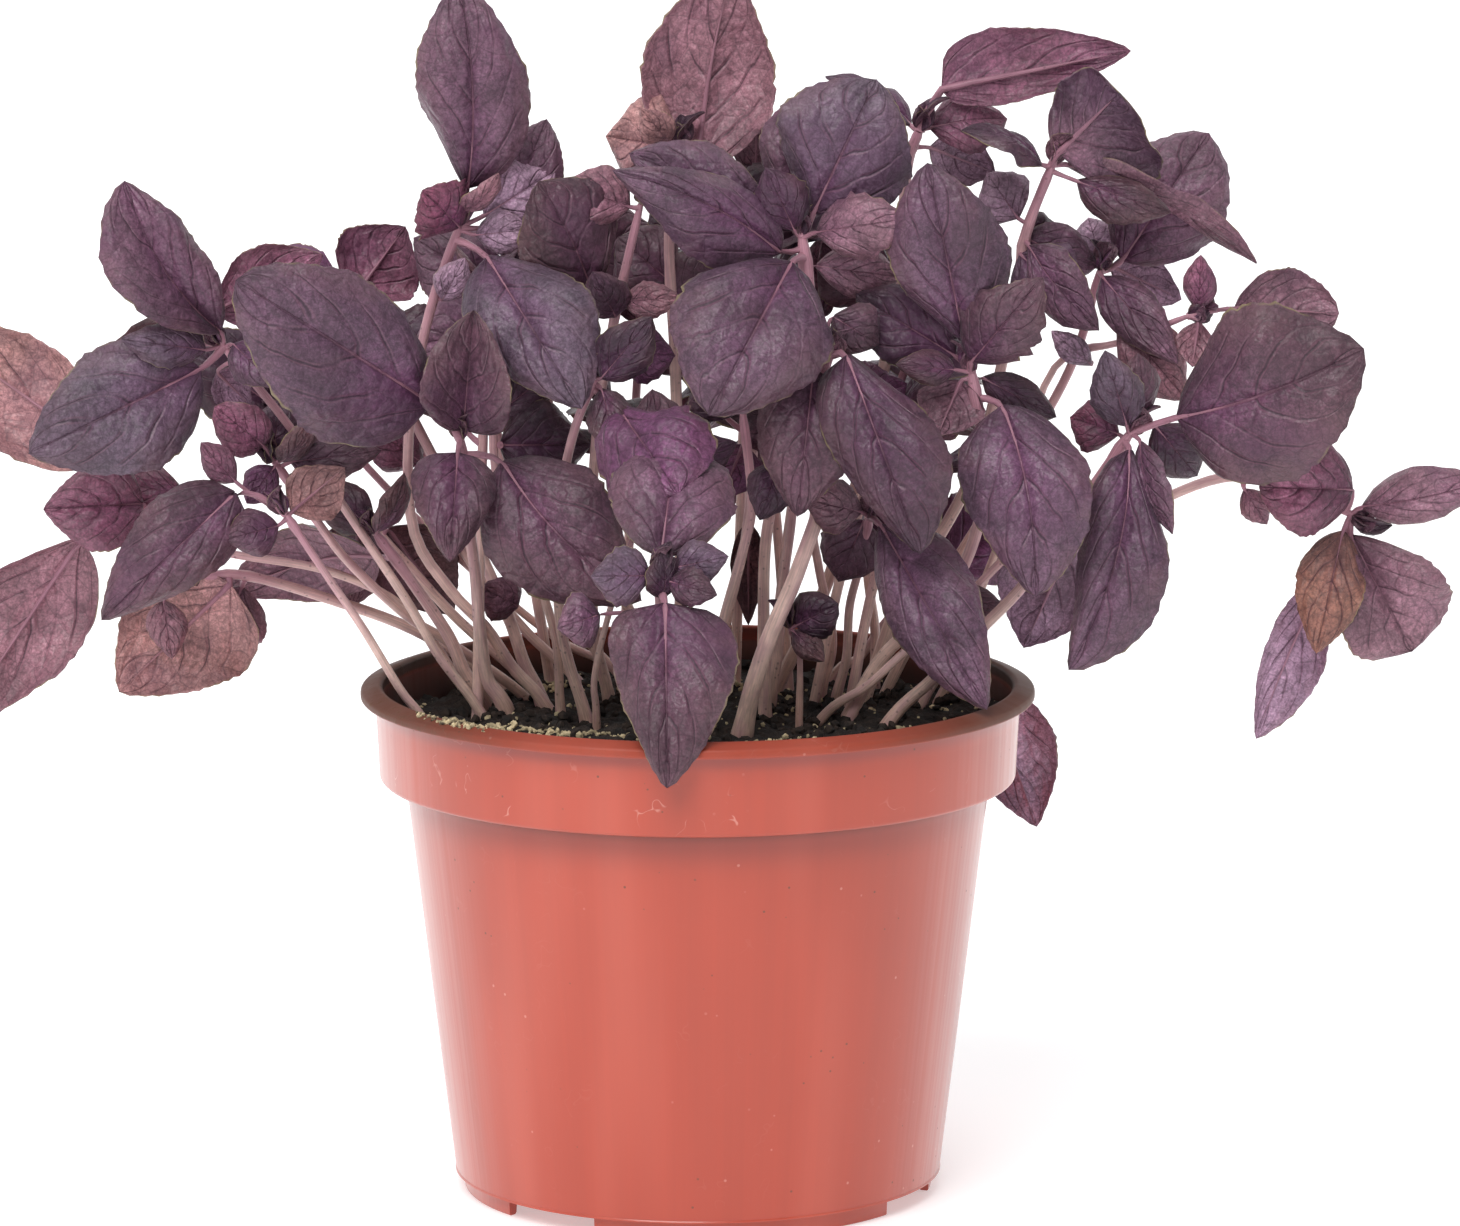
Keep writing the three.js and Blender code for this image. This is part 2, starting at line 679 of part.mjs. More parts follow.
// A stem's middle line: straight in the soil, then a smooth curve through its points
function stemLine({ root, stem }) {
  const ground = new THREE.Vector3(root[0], root[1], SOIL_HEIGHT);
  const rise = stem[0].clone().sub(ground);
  rise.set(rise.x / 2, rise.y / 2, rise.z).normalize();
  const bottom = ground.clone().addScaledVector(rise, -ROOT_DEPTH);
  const collar = ground.clone().addScaledVector(rise, COLLAR_RISE);
  const curve = new THREE.CatmullRomCurve3([bottom, collar, ...stem], false, "catmullrom", 0.5);
  const steps = Math.max(3, Math.round(curve.getLength() / STEM_STEP));
  const first = 1 / (stem.length + 1);
  const line = [bottom];
  for (let step = 0; step <= steps; step++)
    line.push(curve.getPoint(first + ((1 - first) * step) / steps));
  return line;
}

// A ring of points round a place on a line that runs along a direction
function ringAround(center, along, radius) {
  const across = new THREE.Vector3(1, 0, 0).cross(along).normalize();
  const other = along.clone().cross(across);
  const ring = [];
  for (let side = 0; side < STEM_SIDES; side++) {
    const angle = (side * 2 * Math.PI) / STEM_SIDES;
    ring.push(
      center.clone()
        .addScaledVector(across, radius * Math.cos(angle))
        .addScaledVector(other, radius * Math.sin(angle)),
    );
  }
  return ring;
}

function stemRings({ line, thick }, swell = 0) {
  const last = line.length - 1;
  const rings = line.map((point, i) => {
    const along = line[Math.min(i + 1, last)].clone().sub(line[Math.max(i - 1, 0)]).normalize();
    return ringAround(point, along, THREE.MathUtils.lerp(...thick, i / last) / 2 + swell);
  });
  const end = line[last].clone().sub(line[last - 1]).normalize();
  rings.push([line[last].clone().addScaledVector(end, thick[1] + swell)]);
  return rings;
}

// The plain hole in the soil that a stem stands in
function stemHole({ line, thick }) {
  const rise = line[1].clone().sub(line[0]).normalize();
  const radius = thick[0] / 2 + HOLE_CLEARANCE;
  const low = line[0].clone().addScaledVector(rise, -FIT_GAP);
  const high = line[0].clone().addScaledVector(rise, ROOT_DEPTH + HOLE_RISE);
  return solidOf(loft([ringAround(low, rise, radius), ringAround(high, rise, radius)]));
}

// Blades

// Half the blade's width along it, as a share of the widest place
function outline(t, round) {
  return round ? Math.sin(Math.PI * t) ** 0.6 : Math.sin(Math.PI * t ** 0.8) ** 0.95;
}

// A blade's frame: its midrib, and across and up at any place along it
function bladeFrame(blade) {
  const { base, tip, facing, form } = blade;
  const { turn = 0, arch = 0.12, sway = 0, under = false } = form;
  const chord = tip.clone().sub(base);
  const length = chord.length();
  const along = chord.normalize();
  const up = facing.clone().addScaledVector(along, -facing.dot(along)).normalize();
  if (under) up.negate();
  up.applyAxisAngle(along, radians(turn));
  const side = along.clone().cross(up);
  const middle = base.clone().lerp(tip, 0.5);
  middle.addScaledVector(up, 2 * arch * length).addScaledVector(side, 2 * sway * length);
  const midrib = new THREE.QuadraticBezierCurve3(base, middle, tip);
  return { midrib, up };
}

// The four corners of a blade's section: edge, top, other edge, underside
function bladeSection(blade, { midrib, up }, t, swell) {
  const { width, form } = blade;
  const { cup = -0.12, round = false, wave = 0.05 } = form;
  const center = midrib.getPoint(t);
  const along = midrib.getTangent(t);
  const over = up.clone().addScaledVector(along, -up.dot(along)).normalize();
  const across = along.clone().cross(over);
  const half = (width / 2) * outline(t, round) + petioleThickness(width) / 2;
  const ripple = wave * width * Math.sin(3 * Math.PI * t);
  const edge = (sign) =>
    center.clone()
      .addScaledVector(across, sign * (half + swell))
      .addScaledVector(over, cup * half + sign * ripple * outline(t, round));
  const rise = BLADE_THICKNESS / 2 + swell;
  return [
    edge(-1),
    center.clone().addScaledVector(over, rise),
    edge(1),
    center.clone().addScaledVector(over, -rise),
  ];
}

function petioleThickness(width) {
  return THREE.MathUtils.clamp(0.6 + 0.04 * width, 0.9, 1.6);
}

function bladeRings(blade, swell = 0) {
  const frame = bladeFrame(blade);
  const stations = blade.width > WIDE_BLADE ? [0, 0.12, 0.35, 0.62, 0.86] : [0, 0.3, 0.68];
  const rings = stations.map((t) => bladeSection(blade, frame, t, swell));
  const shift = blade.root.clone().sub(blade.base);
  rings.unshift(rings[0].map((corner) => corner.clone().add(shift)));
  rings.push([blade.tip.clone().addScaledVector(frame.midrib.getTangent(1), swell)]);
  return rings;
}

// Placing stems and blades clear of each other

const placed = []; // solids that stand already, with their boxes and owners
const MARGIN = 0.35;

function boxOf(rings) {
  return new THREE.Box3().setFromPoints(rings.flat());
}

function keep(owner, rings) {
  placed.push({ owner, solid: solidOf(loft(rings)), box: boxOf(rings) });
}

// Whether a swollen solid is clear of everything that belongs to others
function clears(owner, rings) {
  const box = boxOf(rings);
  const near = placed.filter((other) => other.owner !== owner && other.box.intersectsBox(box));
  if (!near.length) return true;
  const solid = solidOf(loft(rings));
  const clear = near.every((other) => {
    const shared = solid.intersect(other.solid);
    const apart = shared.isEmpty();
    shared.delete();
    return apart;
  });
  solid.delete();
  return clear;
}

const STEM_SHIFTS = [0, 4, -4, 8, -8, 12, -12, 16, -16];
const TIP_SHIFTS = [0, 4, -4, 8, -8, 12, -12, 17, -17, 23, -23];
const TURN_SHIFTS = [0, 15, -15, 30, -30];

// A hand-placed stem, its middle pushed along the line of sight until it is clear
function placeStem(name, { root, stem, thick }) {
  for (const push of STEM_SHIFTS) {
    const points = stem.map(([x, z, depth], i) =>
      seen(x, z, depth + push * Math.sin((Math.PI * (i + 1)) / (stem.length + 1))),
    );
    const line = stemLine({ root, stem: points });
    if (!clears(name, stemRings({ line, thick }, MARGIN))) continue;
    keep(name, stemRings({ line, thick }));
    return { name, line, thick };
  }
  throw new Error(name + " finds no free place");
}

// The place on a stem's line that is nearest to a point
function nearestOn(line, point) {
  let best = line[0];
  for (let i = 1; i < line.length - 1; i++) {
    const span = new THREE.Line3(line[i], line[i + 1]);
    const place = span.closestPointToPoint(point, true, new THREE.Vector3());
    if (place.distanceTo(point) < best.distanceTo(point)) best = place;
  }
  return best;
}

// A hand-placed blade for one push of its tip along the line of sight and one more turn
function handBlade(stem, row, push, turn) {
  const [baseX, baseZ, tipX, tipZ, forward, width, form = {}] = row;
  const depth = nearestOn(stem.line, seen(baseX, baseZ, stem.line.at(-1).y)).y;
  const base = seen(baseX, baseZ, depth - 0.25 * (forward + push));
  const tip = seen(tipX, tipZ, depth - forward - push);
  const facing = VIEWPOINT.clone().sub(base).normalize();
  const turned = { ...form, turn: (form.turn ?? 0) + turn };
  return { root: nearestOn(stem.line, base), base, tip, width, facing, form: turned };
}

// Outlines in the front view that hide what stands behind them: the dense middle of the crown, and
// the blades placed by hand
const CROWN = [
  [-80, 148], [-62, 166], [-50, 150], [-38, 178], [-26, 184], [0, 184], [14, 181], [22, 192],
  [36, 190], [50, 170], [56, 150], [45, 138], [42, 120], [28, 118], [20, 103], [0, 103],
  [-10, 110], [-25, 112], [-35, 125], [-45, 128], [-55, 122], [-62, 130], [-75, 138],
];
const coverings = [CROWN.map(([x, z]) => new THREE.Vector2(x, z))];

function placeHandBlade(stem, row) {
  for (const turn of TURN_SHIFTS)
    for (const push of TIP_SHIFTS) {
      const blade = handBlade(stem, row, push, turn);
      if (!clears(stem.name, bladeRings(blade, MARGIN))) continue;
      const rings = bladeRings(blade);
      keep(stem.name, rings);
      const left = rings.map((ring) => ring[0]);
      const right = rings.slice(0, -1).map((ring) => ring[2]);
      coverings.push([...left, ...right.reverse()].map(shown));
      return;
    }
  throw new Error(stem.name + " has a blade that finds no free place: " + row);
}

// Whether a place of the front view lies behind a hand-placed blade
function covered(point) {
  const { x, y } = shown(point);
  return coverings.some((loop) => {
    let inside = false;
    loop.forEach((a, i) => {
      const b = loop[(i + 1) % loop.length];
      if (a.y > y !== b.y > y && x < a.x + ((b.x - a.x) * (y - a.y)) / (b.y - a.y)) inside = !inside;
    });
    return inside;
  });
}

function isHidden(rings, share) {
  const points = rings.flat();
  return points.filter(covered).length >= share * points.length;
}

// The draws of one stem at the back, all made before anything is placed. The tops stand round the
// rear half of the pot, from 8 to 172 degrees.
function backPlan(i, draw) {
  const azimuth = radians(8 + (164 * (i + 0.5)) / BACK_STEMS + 10 * (draw() - 0.5));
  const reach = BACK_REACHES[i % BACK_REACHES.length] + 6 * (draw() - 0.5);
  const height = BACK_TOP - BACK_DROP * reach + 16 * (draw() - 0.5);
  const outward = new THREE.Vector3(Math.cos(azimuth), Math.sin(azimuth), 0);
  const rootReach = THREE.MathUtils.lerp(...ROOT_RING, draw());
  const spin = 2 * Math.PI * draw();
  const sizes = BACK_LEVELS.map(() => 0.85 + 0.3 * draw());
  return { outward, reach, height, rootReach, spin, sizes };
}

const ROOT_LIMIT = 50;
const ROOT_SHIFTS = [0, 4, -4, 8, -8, 12, -12, 16, -16, 20, -20];

function placeBackStem(name, plan) {
  const { outward, reach, height, rootReach } = plan;
  const sideways = new THREE.Vector3(-outward.y, outward.x, 0);
  const thick = BACK_THICK;
  for (const shift of ROOT_SHIFTS) {
    const foot = outward.clone().multiplyScalar(rootReach).addScaledVector(sideways, shift);
    if (foot.length() > ROOT_LIMIT) continue;
    const top = outward.clone().multiplyScalar(reach).addScaledVector(sideways, shift / 2);
    const stem = [0.35, 0.7, 1].map((share) => {
      const place = foot.clone().lerp(top, share ** 1.3);
      return place.setZ(THREE.MathUtils.lerp(SOIL_HEIGHT, height, share));
    });
    const line = stemLine({ root: [foot.x, foot.y], stem });
    if (!clears(name, stemRings({ line, thick }, MARGIN))) continue;
    if (!isHidden(stemRings({ line, thick }).slice(-3), 0.7)) continue;
    keep(name, stemRings({ line, thick }));
    return { name, line, thick };
  }
  return null;
}

// A blade at the back, from the stem at a share of its height, towards an azimuth
function backBlade(stem, level, size, azimuth, swing, drop) {
  const at = Math.round(level.share * (stem.line.length - 1));
  const root = stem.line[at].clone();
  const lift = radians(level.lift - drop);
  const angle = azimuth + swing;
  const away = new THREE.Vector3(Math.cos(angle), Math.sin(angle), 0);
  const along = away.clone().multiplyScalar(Math.cos(lift)).setZ(Math.sin(lift));
  const base = root.clone().addScaledVector(along, 0.18 * level.length * size);
  const tip = root.clone().addScaledVector(along, 1.15 * level.length * size);
  tip.z -= 0.15 * level.length;
  const facing = new THREE.Vector3(0, 0, 1).addScaledVector(away, -0.3);
  return { root, base, tip, width: level.width * size, facing, form: {} };
}

const SWINGS = [0, 15, -15, 30, -30, 45, -45];
const DROPS = [0, 20, -20, 40, -40];

function placeBackBlades(stem, plan) {
  BACK_LEVELS.forEach((level, i) => {
    for (const half of [0, Math.PI]) {
      const azimuth = plan.spin + (i * Math.PI) / 2 + half;
      const free = SWINGS.flatMap((swing) => DROPS.map((drop) => [radians(swing), drop])).find(
        ([swing, drop]) => {
          const blade = backBlade(stem, level, plan.sizes[i], azimuth, swing, drop);
          const rings = bladeRings(blade);
          const { min, max } = boxOf(rings);
          if (min.y < BACK_RANGE[0] || max.y > BACK_RANGE[1] || min.z < LOWEST_BLADE) return false;
          return isHidden(rings, 0.8) && clears(stem.name, bladeRings(blade, MARGIN));
        },
      );
      if (free)
        keep(stem.name, bladeRings(backBlade(stem, level, plan.sizes[i], azimuth, ...free)));
    }
  });
}

// The largest body of a solid: a hollow that joining seals is filled, and a loose scrap goes
function largestBody(solid) {
  const bodies = solid.decompose();
  return bodies.reduce((largest, body) => (body.volume() > largest.volume() ? body : largest));
}

// Assembly

const part = new THREE.Group();
part.name = "potted_purple_basil";

const potSolid = pot();
const soil = soilBlock();
const { min: potLow, max: potHigh } = potSolid.boundingBox();
const potBox = new THREE.Box3(new THREE.Vector3(...potLow), new THREE.Vector3(...potHigh));
placed.push({ owner: "pot", solid: potSolid, box: potBox });

const stems = Object.entries(HAND_PLACED).map(([name, plan]) => placeStem(name, plan));
for (const stem of stems)
  for (const row of HAND_PLACED[stem.name].blades) placeHandBlade(stem, row);

const draw = drawer(BACK_SEED);
for (let i = 0; i < BACK_STEMS; i++) {
  const plan = backPlan(i, draw);
  const stem = placeBackStem("back_" + String(i + 1).padStart(2, "0"), plan);
  if (!stem) continue;
  const bare = placed.length;
  placeBackBlades(stem, plan);
  if (placed.length > bare) stems.push(stem);
  else placed.pop();
}

const holed = stems.reduce((block, stem) => block.subtract(stemHole(stem)), soil);
part.add(meshOf("pot", potSolid, COLORS.pot, 0.35));
part.add(meshOf("soil", holed, COLORS.soil, 0.95));
for (const stem of stems) {
  const pieces = placed.filter((piece) => piece.owner === stem.name).map((piece) => piece.solid);
  const joined = pieces.reduce((whole, piece) => whole.add(piece));
  part.add(meshOf("stem_" + stem.name, largestBody(joined), COLORS.stem, 0.6));
}

export default part;
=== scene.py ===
"""A purple basil in its nursery pot: the looks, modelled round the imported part.

The script is run in Blender 4.5. Places of stems and blades are in millimetres, as in the part's
source, and become metres when a mesh is made. Sizes in the property groups are in metres.
"""

import math

import bmesh
import bpy
import numpy as np
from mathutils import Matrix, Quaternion, Vector, kdtree, noise


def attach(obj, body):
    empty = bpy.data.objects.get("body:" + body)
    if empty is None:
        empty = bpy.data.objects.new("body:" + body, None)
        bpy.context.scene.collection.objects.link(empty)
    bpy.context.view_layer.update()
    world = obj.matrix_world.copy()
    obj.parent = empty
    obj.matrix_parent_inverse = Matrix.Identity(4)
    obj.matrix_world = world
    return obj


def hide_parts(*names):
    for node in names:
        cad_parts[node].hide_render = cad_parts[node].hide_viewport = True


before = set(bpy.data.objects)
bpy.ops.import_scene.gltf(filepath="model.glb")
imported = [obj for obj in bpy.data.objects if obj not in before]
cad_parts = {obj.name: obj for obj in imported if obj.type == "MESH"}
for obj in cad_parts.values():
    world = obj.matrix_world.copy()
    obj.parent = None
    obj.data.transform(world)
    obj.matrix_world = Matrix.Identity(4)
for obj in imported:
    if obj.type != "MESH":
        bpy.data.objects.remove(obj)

bl_info = {
    "name": "Potted purple basil",
    "version": (1, 0, 0),
    "blender": (4, 5, 0),
    "location": "View3D > Sidebar > Basil",
    "description": "Models a purple basil in its nursery pot round the packed part",
    "category": "Object",
}

MM = 0.001  # metres in a millimetre

# Rules of the part's source, in millimetres
SOIL_HEIGHT = 84.4
SOIL_BUMP = 0.8
ROOT_DEPTH = 13
COLLAR_RISE = 2.5
STEM_STEP = 25
STEM_SIDES = 5
BLADE_THICKNESS = 1.2
WIDE_BLADE = 12
VIEWPOINT = Vector((5.74, -1474.4, 367.4))
STEM_SHIFTS = (0, 4, -4, 8, -8, 12, -12, 16, -16)
TIP_SHIFTS = (0, 4, -4, 8, -8, 12, -12, 17, -17, 23, -23)
TURN_SHIFTS = (0, 15, -15, 30, -30)
BACK_STEMS = 16
BACK_SEED = 20
BACK_REACHES = (22, 40, 52)
BACK_TOP = 186
BACK_DROP = 0.75
BACK_THICK = (2.6, 1.7)
# the near-black colour among these is partly painted shade for the blades at the back
BACK_COLORS = ("grape", "ink", "moss", "dusk", "brown")
BACK_FAN = (8, 164)  # first direction of the stems at the back, and the angle that they fill
BACK_JITTER = (10, 6, 16)  # spread of their direction in degrees, of their reach and height
BACK_SHARES = (0.35, 0.7, 1)
ROOT_RING = (20, 46)
ROOT_SHIFTS = (0, 4, -4, 8, -8, 12, -12, 16, -16, 20, -20)
SWINGS = (0, 15, -15, 30, -30, 45, -45)
DROPS = (0, 20, -20, 40, -40)
BACK_LEVELS = (  # share of the stem's height, length, width, lift in degrees
    (1, 15, 8, 50),
    (0.86, 38, 22, 12),
    (0.66, 30, 17, 0),
)
GRIT_PATCHES = (  # x, y and spread of the patches of pale grit on the soil
    (-43, -20, 5), (-35, -26, 6), (-29, -31, 6), (-22, -36, 6), (-14, -34, 6), (-9, -39, 6),
    (4, -41, 5), (14, -39, 5), (22, -35, 6), (30, -31, 6), (37, -24, 6), (42, -18, 5),
    (-30, -18, 5), (20, -22, 6), (36, -8, 5), (-12, -26, 5), (-26, -28, 6), (-18, -31, 6),
    (15, -34, 7), (26, -30, 7), (-33, -24, 6), (8, 30, 7), (-26, 28, 6),
)
FITS_WITHIN = 0.05  # a point that is nearer than this to a corner of the solid lies on it
STEM_FITS = 0.3  # least share of a stem's corners on the solid
BLADE_FITS = 0.2  # the same for a blade
BACK_BLADE_FITS = 0.4  # and for a blade at the back, which is left out below this

# Leafy stems, listed one by one. root is x, y in the soil, thick the stem's thickness at the soil and
# at its top, and stem its further points as X, Z, depth in the front view. A blade is base X,
# base Z, tip X, tip Z, how far its tip comes forward of the stem, width, the colour of the side
# that faces the front, and its form: turn in degrees, arch and sway as shares of the length, cup,
# under (the underside faces the front), round and wave. The rest of the form is only in the laid
# blade: halves gives the left half's breadth and widest place and then the right half's, seen from
# the front from base to tip. full is how pointed it is, teeth and crumple how strong those are,
# reach its length, back how far its tip is moved back, bend its arch, moved shifts its base and its
# tip by X, Z each, and stalk is how thick and how bent its petiole is.
# blades coloured near-black inside the crown carry painted shade
HAND_PLACED = {
    "left_upper": {
        "root": (-38.5, 3), "thick": (2.2, 1.6),
        "stem": [(-46, 96, 3), (-52, 106.5, 2), (-61.5, 121, 0), (-72, 137, -3), (-84, 152, -6)],
        "blades": [
            (-84.5, 154.5, -101, 181, 6, 19.5, "plum",
                {"turn": 15, "cup": 0.35, "sway": -0.11, "halves": (0.96, 0.6, 0.7, 0.5), "full": 0.78}),
            (-88, 147.5, -118.5, 132.5, 14, 24, "slate",
                {"halves": (0.95, 0.42, 0.88, 0.42), "full": 0.72}),
            (-87, 151, -102, 153, 12, 8, "slate", {"teeth": 0.1}),
            (-88, 152, -104, 151, -6, 10, "brown", {"under": True}),
            (-82, 152, -74.5, 144.5, 8, 8, "dusk"),
            (-85, 147, -79, 141, -4, 7, "lilac", {"under": True}),
            (-85, 158, -66, 168, -10, 13, "mauve", {"under": True}),
        ],
    },
    "left_outer": {
        "root": (-41, 17), "thick": (2.2, 1.6),
        "stem": [(-52, 104.5, 16), (-66, 111.5, 15), (-85, 115, 13), (-98, 121, 11)],
        "blades": [
            (-104, 132, -139, 157, -8, 20, "tan",
                {"under": True, "arch": 0.1, "halves": (1, 0.42, 0.93, 0.42), "full": 0.75}),
            (-109.5, 117, -132.5, 82.5, 10, 20.5, "amber", {"under": True}),
            (-98.5, 123.5, -116, 122.5, 7, 15, "mauve", {"cup": 0.3}),
            (-91, 125, -104, 127.5, -6, 8.5, "red"),
        ],
    },
    "left_low": {
        "root": (-34, 24), "thick": (2.6, 1.8),
        "stem": [(-50, 100.5, 24), (-66, 106.5, 20), (-80, 110.5, 15), (-88, 110.5, 12)],
        "blades": [
            (-83, 109, -103, 89.5, 6, 21, "tan",
                {"under": True, "halves": (1.15, 0.3, 1, 0.42), "full": 0.72}),
            (-95, 106, -93.5, 95.5, 6, 7, "amber"),
            (-81, 108.5, -86, 94.5, -6, 13, "rosy"),
        ],
    },
    "left_front": {
        "root": (-48, -8), "thick": (1.9, 1.5),
        "stem": [(-53, 90, -9), (-59.5, 101, -11), (-65.5, 110, -13), (-73, 121.5, -15)],
        "blades": [
            (-82, 125.5, -106, 102.5, 8, 19, "olive", {"halves": (0.74, 0.3, 0.86, 0.36), "full": 0.75}),
            (-74.5, 119.5, -84, 117, 6, 8, "olive"),
            (-72, 122, -62.5, 130, -6, 10.5, "tan", {"under": True}),
            (-82, 127.5, -88, 134.5, 2, 5.5, "mauve"),
        ],
    },
    "left_young": {
        "root": (-31, 19), "thick": (2.2, 1.6),
        "stem": [(-45, 99, 15), (-52, 103.5, 11), (-62, 113, 5), (-68, 121, 0), (-75, 131, -4)],
        "blades": [
            (-77, 134, -85.5, 141, 8, 10, "mauve",
                {"round": True, "cup": 0.3, "halves": (0.85, 0.5, 0.85, 0.5), "full": 0.6}),
            (-74, 131, -68, 139, 6, 6, "brown", {"turn": 40}),
            (-75, 133, -74, 142, -6, 7.5, "grape", {"round": True}),
            (-75, 130, -80, 123.5, 8, 6.5, "violet"),
            (-72, 131, -56, 133, -6, 8.5, "olive"),
            (-73, 128, -63, 124, -8, 7.5, "ink"),
        ],
    },
    "left_inner": {
        "root": (-38, 11), "thick": (3.3, 2),
        "stem": [(-41.5, 93, 9), (-44.5, 100, 7), (-50.5, 109, 4), (-57, 118, 2)],
        "blades": [
            (-57, 118.5, -52, 129, 6, 6.5, "brown", {"turn": 45}),
            (-58, 119, -67, 127, -4, 8.5, "moss"),
            (-57, 114, -84, 107, -10, 16, "rosy", {"under": True}),
        ],
    },
    "left_wing": {
        "root": (-34, 5), "thick": (3.3, 2),
        "stem": [(-37.5, 92, 4), (-38.7, 100, 2), (-39.5, 111, 0), (-41, 123, -8), (-42, 135, -14)],
        "blades": [
            (-47, 141.5, -81.5, 163.5, 22, 29, "dusk",
                {"arch": 0.1, "halves": (1.02, 0.36, 0.78, 0.52), "full": 0.58}),
            (-41.5, 137, -39.5, 158, 4, 16, "olive", {"cup": 0.9}),
            (-42.5, 132.5, -44, 113, 16, 15.5, "olive", {"halves": (0.86, 0.3, 0.92, 0.28), "full": 0.75}),
            (-34.5, 131, -10, 106, 10, 23, "olive", {"sway": 0.06}),
        ],
    },
    "left_tall": {
        "root": (-27, 10), "thick": (2.6, 2),
        "stem": [
            (-33, 94, 10), (-37.5, 101, 10), (-44, 108, 10), (-50.5, 119, 9),
            (-51, 138, 4), (-47.5, 157, 0), (-42, 173, -2),
        ],
        "blades": [
            (-40.5, 180, -42, 217, 2, 20, "plum",
                {"sway": 0.045, "halves": (0.93, 0.55, 0.95, 0.4), "full": 0.8}),
            (-34, 174.5, -26.5, 192, -8, 13, "plum"),
            (-37.5, 175, -25, 183, -4, 14, "lilac"),
            (-39, 171.5, -29, 172.5, 2, 7.5, "lilac"),
            (-42, 173, -48.5, 179.5, 6, 12, "red", {"teeth": 0.2}),
            (-41.5, 175.5, -35, 182.5, 6, 6, "amber", {"turn": 50}),
            (-37, 167.5, -20.5, 140.5, 20, 23, "slate", {"halves": (0.97, 0.52, 0.82, 0.38), "full": 0.75}),
            (-45, 160, -41, 167.5, 6, 6.5, "lilac"),
        ],
    },
    "left_back": {
        "root": (-28, 15), "thick": (3, 2),
        "stem": [(-31, 95, 16), (-34, 104, 17), (-42, 122, 20), (-52, 142, 24), (-60, 158, 26)],
        "blades": [
            (-61, 160, -51.5, 173, -4, 16.5, "mauve", {"under": True}),
            (-63, 160, -80, 167, -8, 14, "violet"),
            (-57, 152, -40, 148, -6, 18, "ink"),
            (-32, 105, -38.5, 108.5, 6, 8, "rosy", {"round": True}),
        ],
    },
    "inner_left": {
        "root": (-24.5, 4), "thick": (2, 1.6),
        "stem": [(-25.4, 100, 3), (-30, 114, 2), (-35, 124, 4), (-36, 140, 8), (-32, 152, 9)],
        "blades": [
            (-33, 155, -50, 152, -4, 20, "plum"),
            (-31, 153, -17, 150, -8, 16, "moss"),
            (-35, 134, -19, 134, -8, 15, "ink"),
            (-35, 140, -26, 147, -10, 10, "ink"),
        ],
    },
    "center_back_left": {
        "root": (-16, 17), "thick": (2.8, 1.8),
        "stem": [(-18, 98, 17), (-19, 112, 15), (-18, 135, 10), (-15, 155, 4), (-10, 177, 0)],
        "blades": [
            (-18.5, 161, -28, 181, 8, 20, "moss",
                {"turn": 15, "halves": (1, 0.42, 1.05, 0.6), "full": 0.7}),
            (-12, 176.5, -23.5, 180.5, 2, 11, "amber"),
            (-14.5, 157, -18.5, 165, 8, 8, "dusk", {"round": True}),
            (-13, 159.5, -3, 160.5, 6, 6, "amber"),
            (-15, 151, -4, 150, -4, 10, "violet"),
        ],
    },
    "center_curled": {
        "root": (-20, 1), "thick": (2.6, 1.8),
        "stem": [(-23, 95, 1), (-24.5, 103, 0), (-25, 120, -6), (-22, 136, -12), (-18, 146, -16)],
        "blades": [
            (-11, 140.5, 0, 124.5, 12, 20, "violet",
                {"wave": 0.16, "cup": -0.3, "back": -12, "bend": 0.06, "crumple": 1.5, "full": 0.62,
                    "teeth": 0.12, "moved": (-3.2, 0.5, -3.2, 0.5), "halves": (1.05, 0.6, 0.9, 0.45)}),
            (-17, 146, -8, 157, 6, 9.5, "ink"),
            (-17, 144, -14, 133, 6, 7.5, "moss"),
        ],
    },
    "seedling_left": {
        "root": (-18, -3), "thick": (1.5, 1.2),
        "stem": [(-18.4, 92, -5), (-16.5, 101, -6), (-12, 116, -6), (-6, 130, -5)],
        "blades": [
            (-6, 131, -8, 144, -4, 10.5, "olive"),
            (-5, 129.5, 7, 134.5, -3, 8.5, "ink"),
        ],
    },
    "center_tall": {
        "root": (-4, 16), "thick": (3, 2),
        "stem": [(-3, 110, 16), (-4, 150, 13), (-5, 172, 10), (-3, 187, 8)],
        "blades": [
            (0, 184, 6, 218, 0, 24.5, "amber",
                {"under": True, "sway": 0.02, "halves": (0.93, 0.45, 0.93, 0.38), "full": 0.75}),
            (-4, 187, -16, 189, -6, 17, "tan"),
            (-5, 188, -10, 194, 6, 6, "tan"),
            (-4.5, 163, -14, 171, -6, 14, "olive"),
            (-4, 159, 5, 168, -6, 13, "olive"),
        ],
    },
    "center": {
        "root": (8, -13), "thick": (4.4, 2.4),
        "stem": [(10, 91, -14), (13, 100, -14), (18, 112, -14), (22.5, 128, -12), (21, 150, -10),
            (18.5, 171, -10)],
        "blades": [
            (13, 175.5, -12, 186, -4, 13.5, "dusk"),
            (14.5, 168.5, -15, 183, 8, 20, "dusk",
                {"sway": 0.06, "halves": (0.9, 0.35, 0.5, 0.35), "full": 0.85}),
            (16.5, 166.5, 2, 139.3, 24, 26, "dusk", {"halves": (1, 0.42, 1.08, 0.5), "full": 0.68}),
            (17, 172.5, 12, 183.5, 5, 9.5, "grape", {"teeth": 0.15}),
            (21, 172, 37.7, 174.5, 10, 11.5, "rosy", {"teeth": 0.2}),
            (20.5, 175.5, 31.5, 199, 0, 25.5, "slate", {"halves": (0.95, 0.55, 0.93, 0.45), "full": 0.65}),
            (16, 177, 19, 197, -14, 13, "plum"),
            (21, 166, 36, 164, -4, 9, "rosy"),
        ],
    },
    "right_top": {
